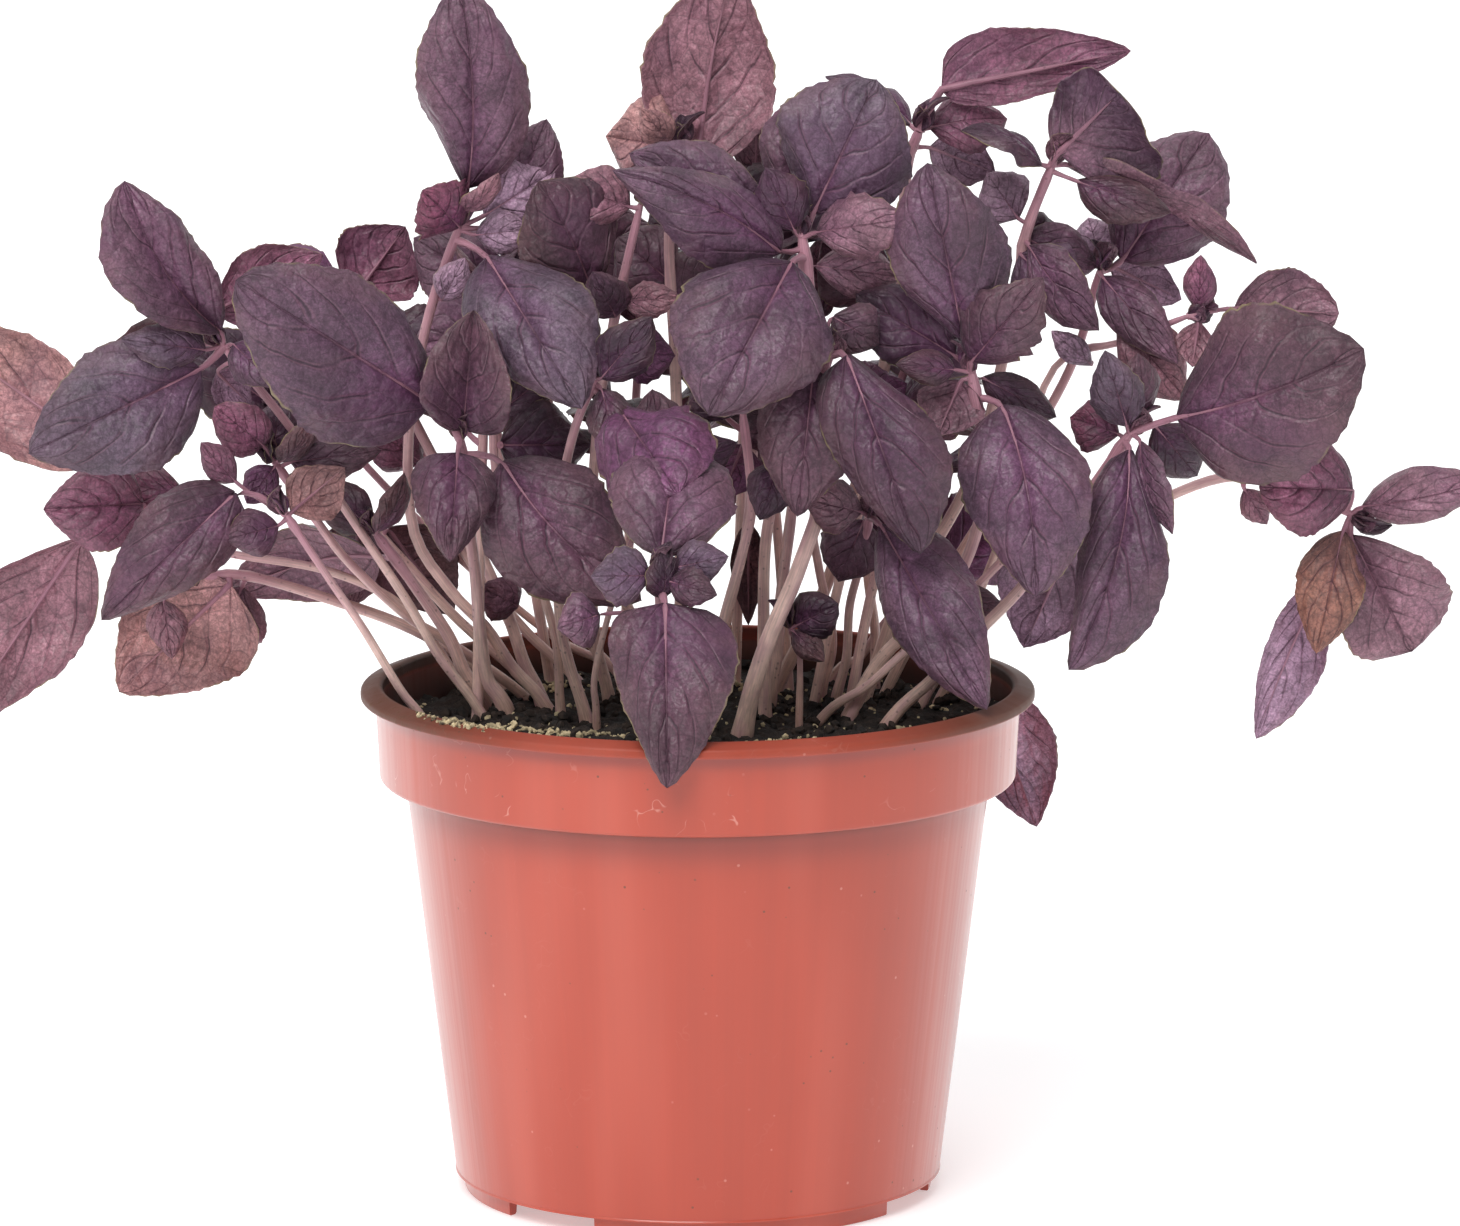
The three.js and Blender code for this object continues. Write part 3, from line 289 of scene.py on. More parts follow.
        "root": (14, 24), "thick": (3, 2.2),
        "stem": [(24, 112, 22), (33, 148, 16), (36, 172, 11), (37, 184, 9), (39, 190, 7)],
        "blades": [
            (45.5, 202, 76.2, 203.5, 0, 14, "mauve",
                {"under": True, "arch": 0.04, "round": True, "stalk": (1.7, 0.1),
                    "moved": (-2.5, -4.6, 0, 0.6), "halves": (1.15, 0.28, 0.62, 0.35), "full": 0.7}),
            (37.5, 191, 22.5, 199.5, -6, 12, "grape", {"turn": 66}),
            (41, 190.5, 54.5, 192, -4, 11.5, "mauve", {"turn": -20}),
            (41, 187, 52.5, 182.5, -10, 9.5, "lilac", {"under": True}),
        ],
    },
    "right_high": {
        "root": (30, 18), "thick": (3, 2),
        "stem": [(37, 109, 17), (44, 119.5, 15), (50.5, 134, 13), (56, 160, 8), (58, 172, 5),
            (62.5, 184, 2)],
        "blades": [
            (63.5, 186, 74, 196.5, 4, 24, "dusk",
                {"under": True, "cup": 0.45, "halves": (0.66, 0.5, 1.25, 0.32), "full": 0.62}),
            (60.5, 184, 46.5, 190, 6, 12, "grape", {"turn": 72}),
            (65, 184, 98.7, 166.5, -6, 12, "rosy", {"turn": 66, "bend": -0.06}),
            (67, 181, 83.5, 175.5, 4, 9.5, "moss", {"halves": (0.6, 0.5, 1, 0.42)}),
            (56.5, 174.5, 51, 182.5, -4, 10.5, "lilac"),
            (58.5, 169.5, 71, 154.5, 8, 10.5, "plum", {"turn": 20}),
            (57.5, 171, 70.5, 165.8, -6, 9.5, "plum"),
            (57, 168, 66.5, 159, 3, 14, "dusk"),
            (57.5, 170.5, 64.5, 172.5, -9, 8, "ink"),
        ],
    },
    "right_broad": {
        "root": (27, 2), "thick": (3.2, 2.2),
        "stem": [(33, 96, 2), (41, 104, 0), (48, 114, -4), (51, 129, -10), (48.5, 147, -14)],
        "blades": [
            (47, 153, 40.5, 184.3, 6, 22.5, "dusk", {"halves": (0.82, 0.55, 0.92, 0.45), "full": 0.75}),
            (48.5, 149, 61, 164, 10, 13.5, "olive", {"teeth": 0.2}),
            (46.5, 145.5, 42.5, 135.7, 2, 12, "rosy", {"under": True}),
            (54, 141, 60, 106.8, 16, 23, "dusk",
                {"sway": -0.05, "halves": (0.92, 0.48, 0.93, 0.38), "full": 0.7}),
            (45.5, 150, 28, 161, -8, 13.5, "ink"),
            (45.5, 147.5, 35, 148.5, 6, 5.5, "moss"),
            (50.5, 146, 63.5, 139, -6, 9, "ink", {"halves": (0.7, 0.42, 0.7, 0.42)}),
        ],
    },
    "right_mid": {
        "root": (34, 25), "thick": (2.6, 1.8),
        "stem": [(44, 110, 23), (56, 130, 19), (66, 148, 14), (71, 165, 10)],
        "blades": [
            (75, 167, 90, 189.5, -6, 21.5, "plum",
                {"round": True, "halves": (0.88, 0.5, 1, 0.5), "full": 0.6}),
            (71.5, 165.5, 69, 174.5, -8, 11, "lilac"),
            (73, 166, 85.5, 160, -6, 9, "lilac", {"under": True}),
            (71.5, 164, 85, 148.5, 12, 9.5, "plum"),
        ],
    },
    "right_small": {
        "root": (40, 11), "thick": (2.2, 1.2),
        "stem": [(46, 98, 11), (54, 118, 9), (62.5, 147, 7), (75, 152.5, 4), (86.5, 157, 2)],
        "blades": [
            (74.5, 156.5, 86.5, 142, 8, 11.5, "amber"),
            (95, 158.5, 114.5, 157.5, -6, 16.5, "rosy",
                {"under": True, "halves": (0.85, 0.5, 0.9, 0.5), "full": 0.6, "reach": 0.94}),
            (88.5, 158.5, 88.8, 168, 2, 5.5, "mauve"),
            (88.5, 156, 87.5, 148, 4, 6.5, "amber", {"under": True}),
            (69.5, 148.5, 62.5, 154.5, 4, 4.5, "lilac"),
        ],
    },
    "right_wing": {
        "root": (34, -3), "thick": (2.8, 2.2),
        "stem": [(42, 92, -3), (50, 100.5, -4), (58, 109, -5), (67, 122, -7), (76.5, 136, -9)],
        "blades": [
            (85, 139, 118.5, 151.5, 12, 31.5, "olive",
                {"arch": 0.08, "sway": 0.04, "halves": (0.97, 0.5, 0.95, 0.42), "full": 0.72, "reach": 0.98}),
            (76, 137.5, 72, 151, 6, 9.5, "slate", {"halves": (0.95, 0.42, 0.9, 0.42)}),
            (77.5, 138.5, 77.8, 150.5, 0, 8.5, "olive", {"turn": 35}),
            (74.5, 136, 66, 139, -4, 9.5, "red"),
            (76.5, 133, 66, 93.5, 14, 19.5, "dusk",
                {"sway": -0.07, "halves": (0.95, 0.6, 0.66, 0.35), "full": 0.75}),
            (78.5, 134.5, 84.3, 118, 10, 9, "plum", {"turn": 45, "halves": (1, 0.5, 0.4, 0.4)}),
            (81, 137.5, 88.5, 128.5, -8, 11, "ink"),
        ],
    },
    "right_far": {
        "root": (44, 20), "thick": (2.6, 1.8),
        "stem": [(51, 102, 18), (66, 115, 15), (84, 125, 12), (96, 128.5, 10), (108, 126, 7),
            (116, 121.5, 4)],
        "blades": [
            (118, 123, 141, 128, 6, 10.5, "rosy", {"sway": 0.03, "halves": (1, 0.42, 0.75, 0.42)}),
            (116, 117.5, 127, 97, 2, 21.5, "rosy",
                {"cup": 0.3, "halves": (1, 0.62, 0.85, 0.7), "full": 0.62}),
            (114.5, 118.5, 110, 96.5, 8, 12, "ochre"),
            (113, 113, 99.5, 81, -6, 12, "lilac",
                {"under": True, "sway": -0.02, "halves": (1.05, 0.6, 0.68, 0.5), "full": 0.8}),
            (116, 126, 99.5, 126.5, 10, 17.5, "mauve",
                {"round": True, "halves": (0.9, 0.5, 1, 0.5), "full": 0.6}),
            (97, 126, 101, 119.8, -3, 5, "amber"),
        ],
    },
    "right_drape": {
        "root": (24.5, 11), "thick": (2.2, 1.6),
        "stem": [(26.5, 96, 9), (27, 105, 4), (29, 113, -3), (30.5, 121, -8)],
        "blades": [
            (32.5, 119.5, 51.5, 86.3, 20, 18, "dusk", {"halves": (1, 0.38, 0.78, 0.5), "full": 0.75}),
            (29, 122, 19, 124.3, 4, 9, "rosy"),
            (29.5, 120.5, 25, 109.5, -6, 11, "plum"),
        ],
    },
    "right_inner": {
        "root": (22, 1), "thick": (2, 1.6),
        "stem": [(30, 90.5, 2), (36, 96, 4), (47, 106, 9), (58, 117, 14), (66, 122, 15)],
        "blades": [
            (67, 118, 58, 97.5, 2, 18.5, "lilac", {"under": True}),
            (46, 106.5, 54.5, 104.8, 2, 5, "olive"),
            (66, 124, 52, 132, -6, 15, "grape"),
        ],
    },
    "center_slim": {
        "root": (1, -2), "thick": (2.6, 1.8),
        "stem": [(4, 100, -3), (8, 115, -4), (9.6, 124, -3), (8, 140, 2)],
        "blades": [
            (7.5, 140, 0, 148, -8, 12, "grape"),
            (8, 134, 4, 124, -8, 10, "violet", {"under": True}),
        ],
    },
    "center_rear": {
        "root": (13, 12), "thick": (2.4, 1.8),
        "stem": [(14.4, 98, 12), (15.3, 110, 11), (16.8, 122, 9), (17, 135, 6)],
        "blades": [
            (17, 135, 9, 142, -6, 12, "olive"),
            (17.5, 134, 27, 139, -6, 12, "ink"),
        ],
    },
    "center_right": {
        "root": (12, 3), "thick": (3, 2),
        "stem": [(11.7, 100, 1), (12.5, 120, -3), (18, 138, -16), (23.5, 150, -19)],
        "blades": [
            (26.5, 150, 39.5, 114.4, 14, 21.5, "grape", {"halves": (0.95, 0.58, 0.74, 0.3), "full": 0.75}),
            (20.5, 147.5, 18, 124, 8, 17.5, "olive", {"reach": 1.12}),
            (24, 157, 32, 152, -4, 10, "olive"),
            (14.5, 130.5, 11, 120.5, 6, 8.5, "grape"),
        ],
    },
    "front": {
        "root": (-7.5, -32), "thick": (2.6, 1.8),
        "stem": [(-7.3, 94, -40), (-6.8, 103, -45), (-6.5, 110.5, -47)],
        "blades": [
            (-6.5, 114, -3, 142, -6, 22.5, "plum",
                {"halves": (0.86, 0.45, 0.98, 0.45), "full": 0.72, "reach": 0.76, "back": 22}),
            (-5.8, 105.5, -5.5, 72, 18, 24, "olive",
                {"arch": 0.06, "halves": (0.98, 0.28, 0.74, 0.2), "full": 0.72}),
            (-8.5, 110.5, -19, 110.5, 6, 9.5, "slate", {"teeth": 0.16}),
            (-5, 109.5, 3.5, 107, 5, 6.5, "olive", {"teeth": 0.16}),
            (-4, 112, 5.5, 114, 0, 7.5, "slate"),
            (-17.5, 103.5, -25, 101, 4, 9.5, "plum"),
            (-6.2, 106.5, -6.5, 115, 3, 7, "ink", {"turn": 30}),
        ],
    },
    "seedling_right": {
        "root": (18, -6), "thick": (1.4, 1.1),
        "stem": [(18.2, 92, -7), (18, 97, -8), (16.5, 101, -9)],
        "blades": [
            (17.5, 101.5, 25, 105.5, 4, 8.5, "ink", {"round": True}),
            (17, 100.5, 22.5, 95, 4, 4.5, "brown"),
        ],
    },
    "left_rear": {
        "root": (-12, 40), "thick": (1.8, 1.5),
        "stem": [(-24, 98.5, 38), (-36, 108, 34), (-50, 121, 32), (-64, 136, 30)],
        "blades": [
            (-66, 138, -82, 142, 4, 17, "ink"),
            (-62, 139, -57, 156, -2, 17, "grape"),
            (-62, 134, -70, 128, 6, 8.5, "ink"),
        ],
    },
    "left_fan": {
        "root": (-30, 28), "thick": (2.4, 1.7),
        "stem": [(-43, 103, 28), (-52, 113, 27), (-62, 124, 24), (-73, 138, 18)],
        "blades": [
            (-75, 141, -92, 153, -2, 15, "ink"),
            (-72, 141, -66, 157, -6, 15, "grape"),
            (-70, 136, -62, 130, 4, 9, "ink"),
            (-55, 119, -43.5, 103.5, -6, 15, "brown", {"under": True}),
            (-60, 121, -62, 104.5, -8, 14, "brown", {"under": True}),
        ],
    },
    "left_fan_rear": {
        "root": (-21, 30), "thick": (2.4, 1.7),
        "stem": [(-31, 101, 32), (-41, 114, 32), (-47, 126, 31), (-51, 141, 29)],
        "blades": [
            (-50, 144, -34, 152, -6, 17, "ink"),
            (-53, 142, -69, 147, -8, 17, "ink"),
            (-49, 131, -59, 138, 6, 10, "mauve"),
        ],
    },
    "center_fan_left": {
        "root": (-12, 26), "thick": (2.4, 1.7),
        "stem": [(-20, 100, 27), (-27, 120, 27), (-32, 143, 25), (-34, 159, 22)],
        "blades": [
            (-36, 162, -50, 171, -4, 15, "plum"),
            (-32, 162, -23, 176, -6, 15, "grape"),
        ],
    },
    "center_fan": {
        "root": (-4, 29), "thick": (2.6, 1.8),
        "stem": [(-13, 106, 31), (-23, 130, 29), (-27.5, 149, 27), (-25, 166, 24)],
        "blades": [
            (-23, 168, -8, 173, -6, 16, "olive"),
            (-26, 162, -38, 158, -8, 16, "grape"),
        ],
    },
    "center_fan_right": {
        "root": (3, 21), "thick": (2.4, 1.7),
        "stem": [(5.5, 104, 22), (9, 121, 21), (10, 148, 19), (6, 168, 18)],
        "blades": [
            (4, 172, -8, 182, -6, 15, "ink"),
            (8, 172, 20, 184, -6, 15, "ink"),
            (7, 158, -4, 152, -6, 15, "grape"),
            (9, 120, 9, 101.5, -6, 11, "brown", {"under": True, "halves": (0.5, 0.42, 0.5, 0.42)}),
        ],
    },
    "right_fan": {
        "root": (22, 17), "thick": (2.2, 1.6),
        "stem": [(24, 99, 17), (21.5, 112, 16), (20.5, 121, 14), (23, 138, 10)],
        "blades": [
            (22, 141, 9, 148, -4, 14, "ink"),
            (25, 140, 37, 145, -4, 14, "violet"),
        ],
    },
    "right_fan_rear": {
        "root": (32, 30), "thick": (2.4, 1.7),
        "stem": [(31.5, 101, 30), (30, 115, 29), (32, 137, 26), (34, 157, 23)],
        "blades": [
            (36, 160, 46, 176, -4, 18, "grape"),
            (32, 160, 22, 170, -4, 14, "olive"),
        ],
    },
    "rear_drape": {
        "root": (24, 38), "thick": (2.2, 1.6),
        "stem": [(29, 96, 41), (35, 104, 42), (42, 107, 43)],
        "blades": [
            (51, 92, 60.5, 65, -3, 17, "lilac", {"under": True}),
            (44, 112, 57, 124, -8, 18, "violet"),
            (40, 110, 32, 128, -10, 18, "grape"),
        ],
    },
}

FEET = list(HAND_PLACED.values())


# Sizes and colours


def linear(value):
    """A channel of a screen colour, 0 to 255, as linear light"""
    share = value / 255
    return share / 12.92 if share <= 0.04045 else ((share + 0.055) / 1.055) ** 2.4


def paint(name, description, *screen):
    """A colour that a user may change, given by its red, green and blue on the screen"""
    return bpy.props.FloatVectorProperty(
        name=name,
        description=description,
        default=[linear(value) for value in screen],
        subtype="COLOR",
        size=3,
        min=0,
        max=1,
    )


def length(name, description, default):
    """A length that a user may change, in metres"""
    return bpy.props.FloatProperty(
        name=name, description=description, default=default, unit="LENGTH", min=0, precision=4
    )


class BASIL_PotSettings(bpy.types.PropertyGroup):
    height: length("Height", "From the feet to the top of the lip", 0.0915)
    lip_radius: length("Lip radius", "Outer radius of the rolled lip", 0.060)
    lip_rise: length("Lip rise", "Rise of the lip's sloping top", 0.0009)
    collar_radius: length("Collar radius", "Outer radius of the collar under the lip", 0.0573)
    collar_height: length("Collar height", "From the shoulder to the top of the lip", 0.017)
    body_top: length("Body top radius", "Outer radius under the collar", 0.0521)
    body_foot: length("Body foot radius", "Outer radius at the floor", 0.0434)
    wall: length("Wall", "Thickness of the wall", 0.0011)
    foot_height: length("Foot height", "Height of the short foot arcs", 0.003)
    sides: bpy.props.IntProperty(
        name="Sides", description="Faces round the pot", default=160, min=24, max=360
    )
    plastic: paint("Plastic", "Terracotta-coloured plastic", 182, 66, 42)
    scuff: paint("Scuffs", "Pale scratches on the collar", 226, 160, 146)
    # painted reflection: the pale streaks on the pot's left and right sides
    side_reflection: paint("Reflection", "Pale upright streaks on the sides", 224, 196, 194)
    shade: paint("Shade", "Purplish brown right under the lip and the collar", 104, 44, 48)
    # this brown is also the painted shade on the lip and, much darker, inside the collar
    dirt_and_shade: paint("Dirt_and_shade", "Dried soil on the lip and specks on the wall", 96, 62, 42)


class BASIL_SoilSettings(bpy.types.PropertyGroup):
    radius: length("Radius", "Outer radius of the soil's top", 0.0551)
    height: length("Height", "Height of the soil's top", 0.0844)
    crumbs: bpy.props.IntProperty(name="Crumbs", description="Loose dark crumbs", default=950, min=0)
    grains: bpy.props.IntProperty(name="Grit", description="Grains of pale grit", default=2000, min=0)
    peat: paint("Peat", "Moist potting soil", 27, 23, 22)
    crumb: paint("Crumbs", "Drier lumps of soil", 56, 46, 41)
    grit: paint("Grit", "Pale grains on the soil", 214, 196, 158)


class BASIL_FoliageSettings(bpy.types.PropertyGroup):
    blade_thickness: length("Blade thickness", "Thickness of a large blade at its midrib", 0.0005)
    pucker: length("Pucker", "Height of the cells between the veins of a large blade", 0.0005)
    veins: bpy.props.FloatProperty(
        name="Veins", description="Pairs of side veins along a blade", default=4.4, min=1, max=12
    )
    slate: paint("Slate", "Cool grey tops of large blades", 90, 74, 90)
    dusk: paint("Dusk", "Grey-purple tops of most blades", 88, 64, 82)
    plum: paint("Plum", "Warmer purple blades", 104, 74, 92)
    violet: paint("Violet", "Bright young purple blades", 108, 64, 98)
    grape: paint("Grape", "Deep purple blades", 68, 46, 62)
    # partly painted shade: this near-black colour stands for the shade on blades inside the crown, and is
    # also the real dark of the buds
    ink: paint("Ink", "Nearly black blades inside the crown", 50, 32, 46)
    olive: paint("Olive", "Purple blades with green showing through", 84, 58, 70)
    moss: paint("Moss", "Dark olive blades", 68, 46, 54)
    rosy: paint("Rosy", "Rosy undersides", 130, 94, 108)
    mauve: paint("Mauve", "Mauve undersides", 126, 78, 100)
    lilac: paint("Lilac", "Pale lilac undersides", 164, 132, 156)
    tan: paint("Tan", "Pinkish tan old blades", 178, 132, 130)
    ochre: paint("Ochre", "Ochre blades that light shines through", 148, 102, 86)
    amber: paint("Amber", "Orange-pink blades that light shines through", 150, 106, 118)
    red: paint("Red", "Reddish blades", 112, 60, 82)
    brown: paint("Brown", "Brownish blades", 102, 72, 76)
    flush: paint("Flush", "Red purple by the base and the midrib of a blade", 104, 60, 94)
    rib: paint("Midrib", "Pink of midribs and petioles", 152, 104, 122)
    # used for the dark of the veins, which is partly painted shade in their grooves, for the net of small
    # veins and for specks on the stems
    deep: paint("Veins", "Dark of the sunken veins", 46, 26, 40)
    margin: paint("Margin", "Thin pale edge of the blades", 152, 140, 96)
    stem_foot: paint("Stem foot", "Olive beige of the stems at the soil", 216, 188, 170)
    stem_middle: paint("Stem middle", "Beige pink of the stems", 232, 198, 188)
    stem_top: paint("Stem top", "Pink of the stems under the top blades", 184, 132, 148)


class BASIL_StageSettings(bpy.types.PropertyGroup):
    floor: paint("Floor", "Plain pale floor", 228, 228, 229)
    floor_radius: length("Floor radius", "Radius of the round floor", 7.0)
    glow: bpy.props.FloatProperty(
        name="Glow", description="Light that the floor gives by itself", default=0.5, min=0
    )
    backdrop: bpy.props.FloatProperty(
        name="Backdrop", description="Brightness of the white studio behind and above", default=1.05, min=0
    )
    front: bpy.props.FloatProperty(
        name="Front", description="Brightness of the room behind the camera", default=0.3, min=0
    )
    key: bpy.props.FloatProperty(
        name="Key light", description="Strength of the soft light from above the camera", default=2.1, min=0
    )


SETTINGS = (
    ("basil_pot", BASIL_PotSettings),
    ("basil_soil", BASIL_SoilSettings),
    ("basil_foliage", BASIL_FoliageSettings),
    ("basil_stage", BASIL_StageSettings),
)


# Tools for modelling


def deselect_all():
    if bpy.context.object and bpy.context.object.mode != "OBJECT":
        bpy.ops.object.mode_set(mode="OBJECT")
    bpy.ops.object.select_all(action="DESELECT")


def select_only(piece):
    deselect_all()
    piece.select_set(True)
    bpy.context.view_layer.objects.active = piece


def edit(piece):
    """Opens one piece in edit mode, with nothing in it selected"""
    select_only(piece)
    bpy.ops.object.mode_set(mode="EDIT")
    bpy.ops.mesh.select_mode(type="VERT")
    bpy.ops.mesh.select_all(action="DESELECT")


def select_where(piece, test, kind="verts"):
    """Selects the vertices, edges or faces of the piece in edit mode that pass a test"""
    mesh = bmesh.from_edit_mesh(piece.data)
    for part in (mesh.verts, mesh.edges, mesh.faces):
        for element in part:
            element.select = False
    for element in getattr(mesh, kind):
        if test(element):
            element.select_set(True)
    mesh.select_flush_mode()
    bmesh.update_edit_mesh(piece.data)


def apply_modifiers(piece):
    select_only(piece)
    for modifier in list(piece.modifiers):
        bpy.ops.object.modifier_apply(modifier=modifier.name)


def join(pieces, name):
    """Joins pieces into the first one, which gets the name"""
    deselect_all()
    for piece in pieces:
        piece.select_set(True)
    bpy.context.view_layer.objects.active = pieces[0]
    if len(pieces) > 1:
        bpy.ops.object.join()
    pieces[0].name = name
    pieces[0].data.name = name
    return pieces[0]


def smooth(piece, angle=None):
    select_only(piece)
    if angle is None:
        bpy.ops.object.shade_smooth()
    else:
        bpy.ops.object.shade_smooth_by_angle(angle=math.radians(angle))


def keep_place(piece):
    """Puts the piece's object at the origin, with its place in its mesh"""
    select_only(piece)
    bpy.ops.object.transform_apply(location=True, rotation=True, scale=True)


def extrude_through(rings):
    """Extrudes the selected ring, the first of some radii and heights, through the others"""
    for (radius, height), (next_radius, next_height) in zip(rings, rings[1:]):
        bpy.ops.mesh.extrude_edges_move(
            TRANSFORM_OT_translate={"value": (0, 0, next_height - height)}
        )
        share = next_radius / radius
        bpy.ops.transform.resize(value=(share, share, 1), center_override=(0, 0, next_height))


def corners(mesh):
    """The places of a mesh's vertices, a row each"""
    places = np.empty(len(mesh.vertices) * 3)
    mesh.vertices.foreach_get("co", places)
    return places.reshape(-1, 3)


def write_attribute(mesh, name, kind, field, rows):
    attribute = mesh.attributes.get(name) or mesh.attributes.new(name, kind, "POINT")
    attribute.data.foreach_set(field, np.asarray(rows, dtype=np.float32).ravel())


def drawer(seed):
    """Seeded draws between 0 and 1, the same as in the part's source"""
    state = seed

    def draw():
        nonlocal state
        state = (state + 0x6D2B79F5) & 0xFFFFFFFF
        mixed = ((state ^ (state >> 15)) * (1 | state)) & 0xFFFFFFFF
        mixed = ((mixed + (mixed ^ (mixed >> 7)) * (61 | mixed)) & 0xFFFFFFFF) ^ mixed
        return (mixed ^ (mixed >> 14)) / 4294967296

    return draw


# Tools for materials


class Graph:
    """A new material whose nodes are added by short calls"""

    def __init__(self, name, **values):
        self.material = bpy.data.materials.new(name)
        self.material.use_nodes = True
        self.tree = self.material.node_tree
        self.shader = self.tree.nodes["Principled BSDF"]
        for socket, value in values.items():
            self.shader.inputs[socket.replace("_", " ")].default_value = value

    def node(self, kind, inputs=(), **settings):
        node = self.tree.nodes.new(kind)
        for key, value in settings.items():
            setattr(node, key, value)
        for key, value in dict(inputs).items():
            if isinstance(value, bpy.types.NodeSocket):
                self.tree.links.new(value, node.inputs[key])
            else:
                node.inputs[key].default_value = value
        return node

    def attribute(self, name, output):
        return self.node("ShaderNodeAttribute", attribute_name=name).outputs[output]

    def place(self):
        return self.node("ShaderNodeTexCoord").outputs["Object"]

    def math(self, operation, first, second=0.0, third=0.0, clamp=False):
        values = {0: first, 1: second, 2: third}
        return self.node("ShaderNodeMath", values, operation=operation, use_clamp=clamp).outputs[0]

    def times(self, first, second):
        return self.math("MULTIPLY", first, second)

    def between(self, value, low, high, start=0.0, end=1.0):
        """A smooth step from start to end as the value goes from low to high"""
        inputs = {"Value": value, "From Min": low, "From Max": high, "To Min": start, "To Max": end}
        node = self.node("ShaderNodeMapRange", inputs, interpolation_type="SMOOTHSTEP")
        return node.outputs["Result"]

    def stretch(self, vector, x, y, z):
        inputs = {0: vector, 1: (x, y, z)}
        return self.node("ShaderNodeVectorMath", inputs, operation="MULTIPLY").outputs[0]

    def noise(self, vector, scale, detail=2.0, roughness=0.5):
        inputs = {"Vector": vector, "Scale": scale, "Detail": detail, "Roughness": roughness}
        return self.node("ShaderNodeTexNoise", inputs).outputs["Fac"]

    def cells(self, vector, scale, feature):
        inputs = {"Vector": vector, "Scale": scale}
        return self.node("ShaderNodeTexVoronoi", inputs, feature=feature).outputs["Distance"]

    def mix(self, factor, first, second, blend="MIX"):
        node = self.node("ShaderNodeMix", data_type="RGBA", blend_type=blend, clamp_factor=True)
        for index, value in ((0, factor), (6, first), (7, second)):
            if isinstance(value, bpy.types.NodeSocket):
                self.tree.links.new(value, node.inputs[index])
            elif index:
                node.inputs[index].default_value = (*value[:3], 1)
            else:
                node.inputs[index].default_value = value
        return node.outputs[2]

    def cover(self, color, other, mask, strength):
        """A colour with another one over it, as strongly as the mask times the strength"""
        return self.mix(self.times(mask, strength), color, other)

    def toned(self, color, tone):
        """A colour times a number"""
        grey = self.node("ShaderNodeCombineColor", {"Red": tone, "Green": tone, "Blue": tone})
        return self.mix(1.0, color, grey.outputs[0], "MULTIPLY")

    def bump(self, height, strength, distance, normal=None):
        inputs = {"Height": height, "Strength": strength, "Distance": distance}
        if normal:
            inputs["Normal"] = normal
        return self.node("ShaderNodeBump", inputs).outputs["Normal"]

    def finish(self, color, roughness=None, normal=None):
        for socket, value in (("Base Color", color), ("Roughness", roughness), ("Normal", normal)):
            if value is not None:
                self.tree.links.new(value, self.shader.inputs[socket])
        return self.material


# Pot


def arc(center, radius, start, end, steps):
    """Points of an arc in the plane of radius and height, angles in degrees"""
    angles = [math.radians(start + (end - start) * step / steps) for step in range(steps + 1)]
    return [
        (center[0] + radius * math.cos(angle), center[1] + radius * math.sin(angle))
        for angle in angles
    ]


def pot_profile(pot):
    """Radius and height round the pot's wall, from the floor's underside to the floor's top"""
    shoulder = pot.height - pot.collar_height
    floor = pot.foot_height
    foot = pot.body_foot - 1.5 * MM
    rim, lip = pot.lip_radius, pot.height - pot.lip_rise
    collar_inner = pot.collar_radius - pot.wall - 0.1 * MM
    round_foot = 0.35 * MM
    return [
        (foot - 2.0 * MM, floor),
        (foot - 1.8 * MM, round_foot),
        (foot - 1.45 * MM, 0),
        *arc((foot - round_foot, round_foot), round_foot, -90, 0, 3),
        (foot + 0.1 * MM, floor - 0.1 * MM),
        (pot.body_foot - 0.1 * MM, floor),
        (pot.body_foot + 0.16 * MM, floor + 0.1 * MM),
        (pot.body_foot + 0.16 * MM, floor + 0.3 * MM),
        (pot.body_foot, floor + 0.5 * MM),
        *[
            (
                pot.body_foot + (pot.body_top - pot.body_foot) * share,
                floor + (shoulder - floor) * share,
            )
            for share in (0.02, 0.2, 0.4, 0.6, 0.8, 0.96, 0.99)
        ],
        (pot.body_top + 0.1 * MM, shoulder - 0.3 * MM),
        (pot.body_top + 0.5 * MM, shoulder),
        (pot.collar_radius - 1.6 * MM, shoulder),
        *arc((pot.collar_radius - 1.5 * MM, shoulder + 0.9 * MM), 0.9 * MM, -80, 0, 5),
        (pot.collar_radius - 0.35 * MM, shoulder + 6 * MM),
        (pot.collar_radius - 0.1 * MM, shoulder + 11 * MM),
        (pot.collar_radius, lip - 2.3 * MM),
        (pot.collar_radius + 0.25 * MM, lip - 1.75 * MM),
        (pot.collar_radius + 0.8 * MM, lip - 1.55 * MM),
        *arc((rim - 0.35 * MM, lip - 1.2 * MM), 0.35 * MM, -80, 0, 3),
        *arc((rim - 0.75 * MM, lip - 0.6 * MM), 0.75 * MM, 8, 62, 4),
        (rim - 1.3 * MM, lip + 0.35 * MM),
        (rim - 2.2 * MM, lip + 0.72 * MM),
        *arc((rim - 3.1 * MM, lip + 0.0 * MM), pot.height - lip, 72, 165, 6),
        (collar_inner + 0.15 * MM, lip - 1.4 * MM),
        (collar_inner, pot.height - 3 * MM),
        (collar_inner - 0.3 * MM, shoulder + 6 * MM),
        (collar_inner - 0.5 * MM, shoulder + pot.wall),
        (pot.body_top - pot.wall, shoulder + pot.wall),
        (pot.body_top - pot.wall - 0.2 * MM, shoulder - 1 * MM),
        (pot.body_foot - pot.wall + 0.1 * MM, floor + pot.wall + 0.6 * MM),
        (pot.body_foot - pot.wall - 0.8 * MM, floor + pot.wall),
    ]


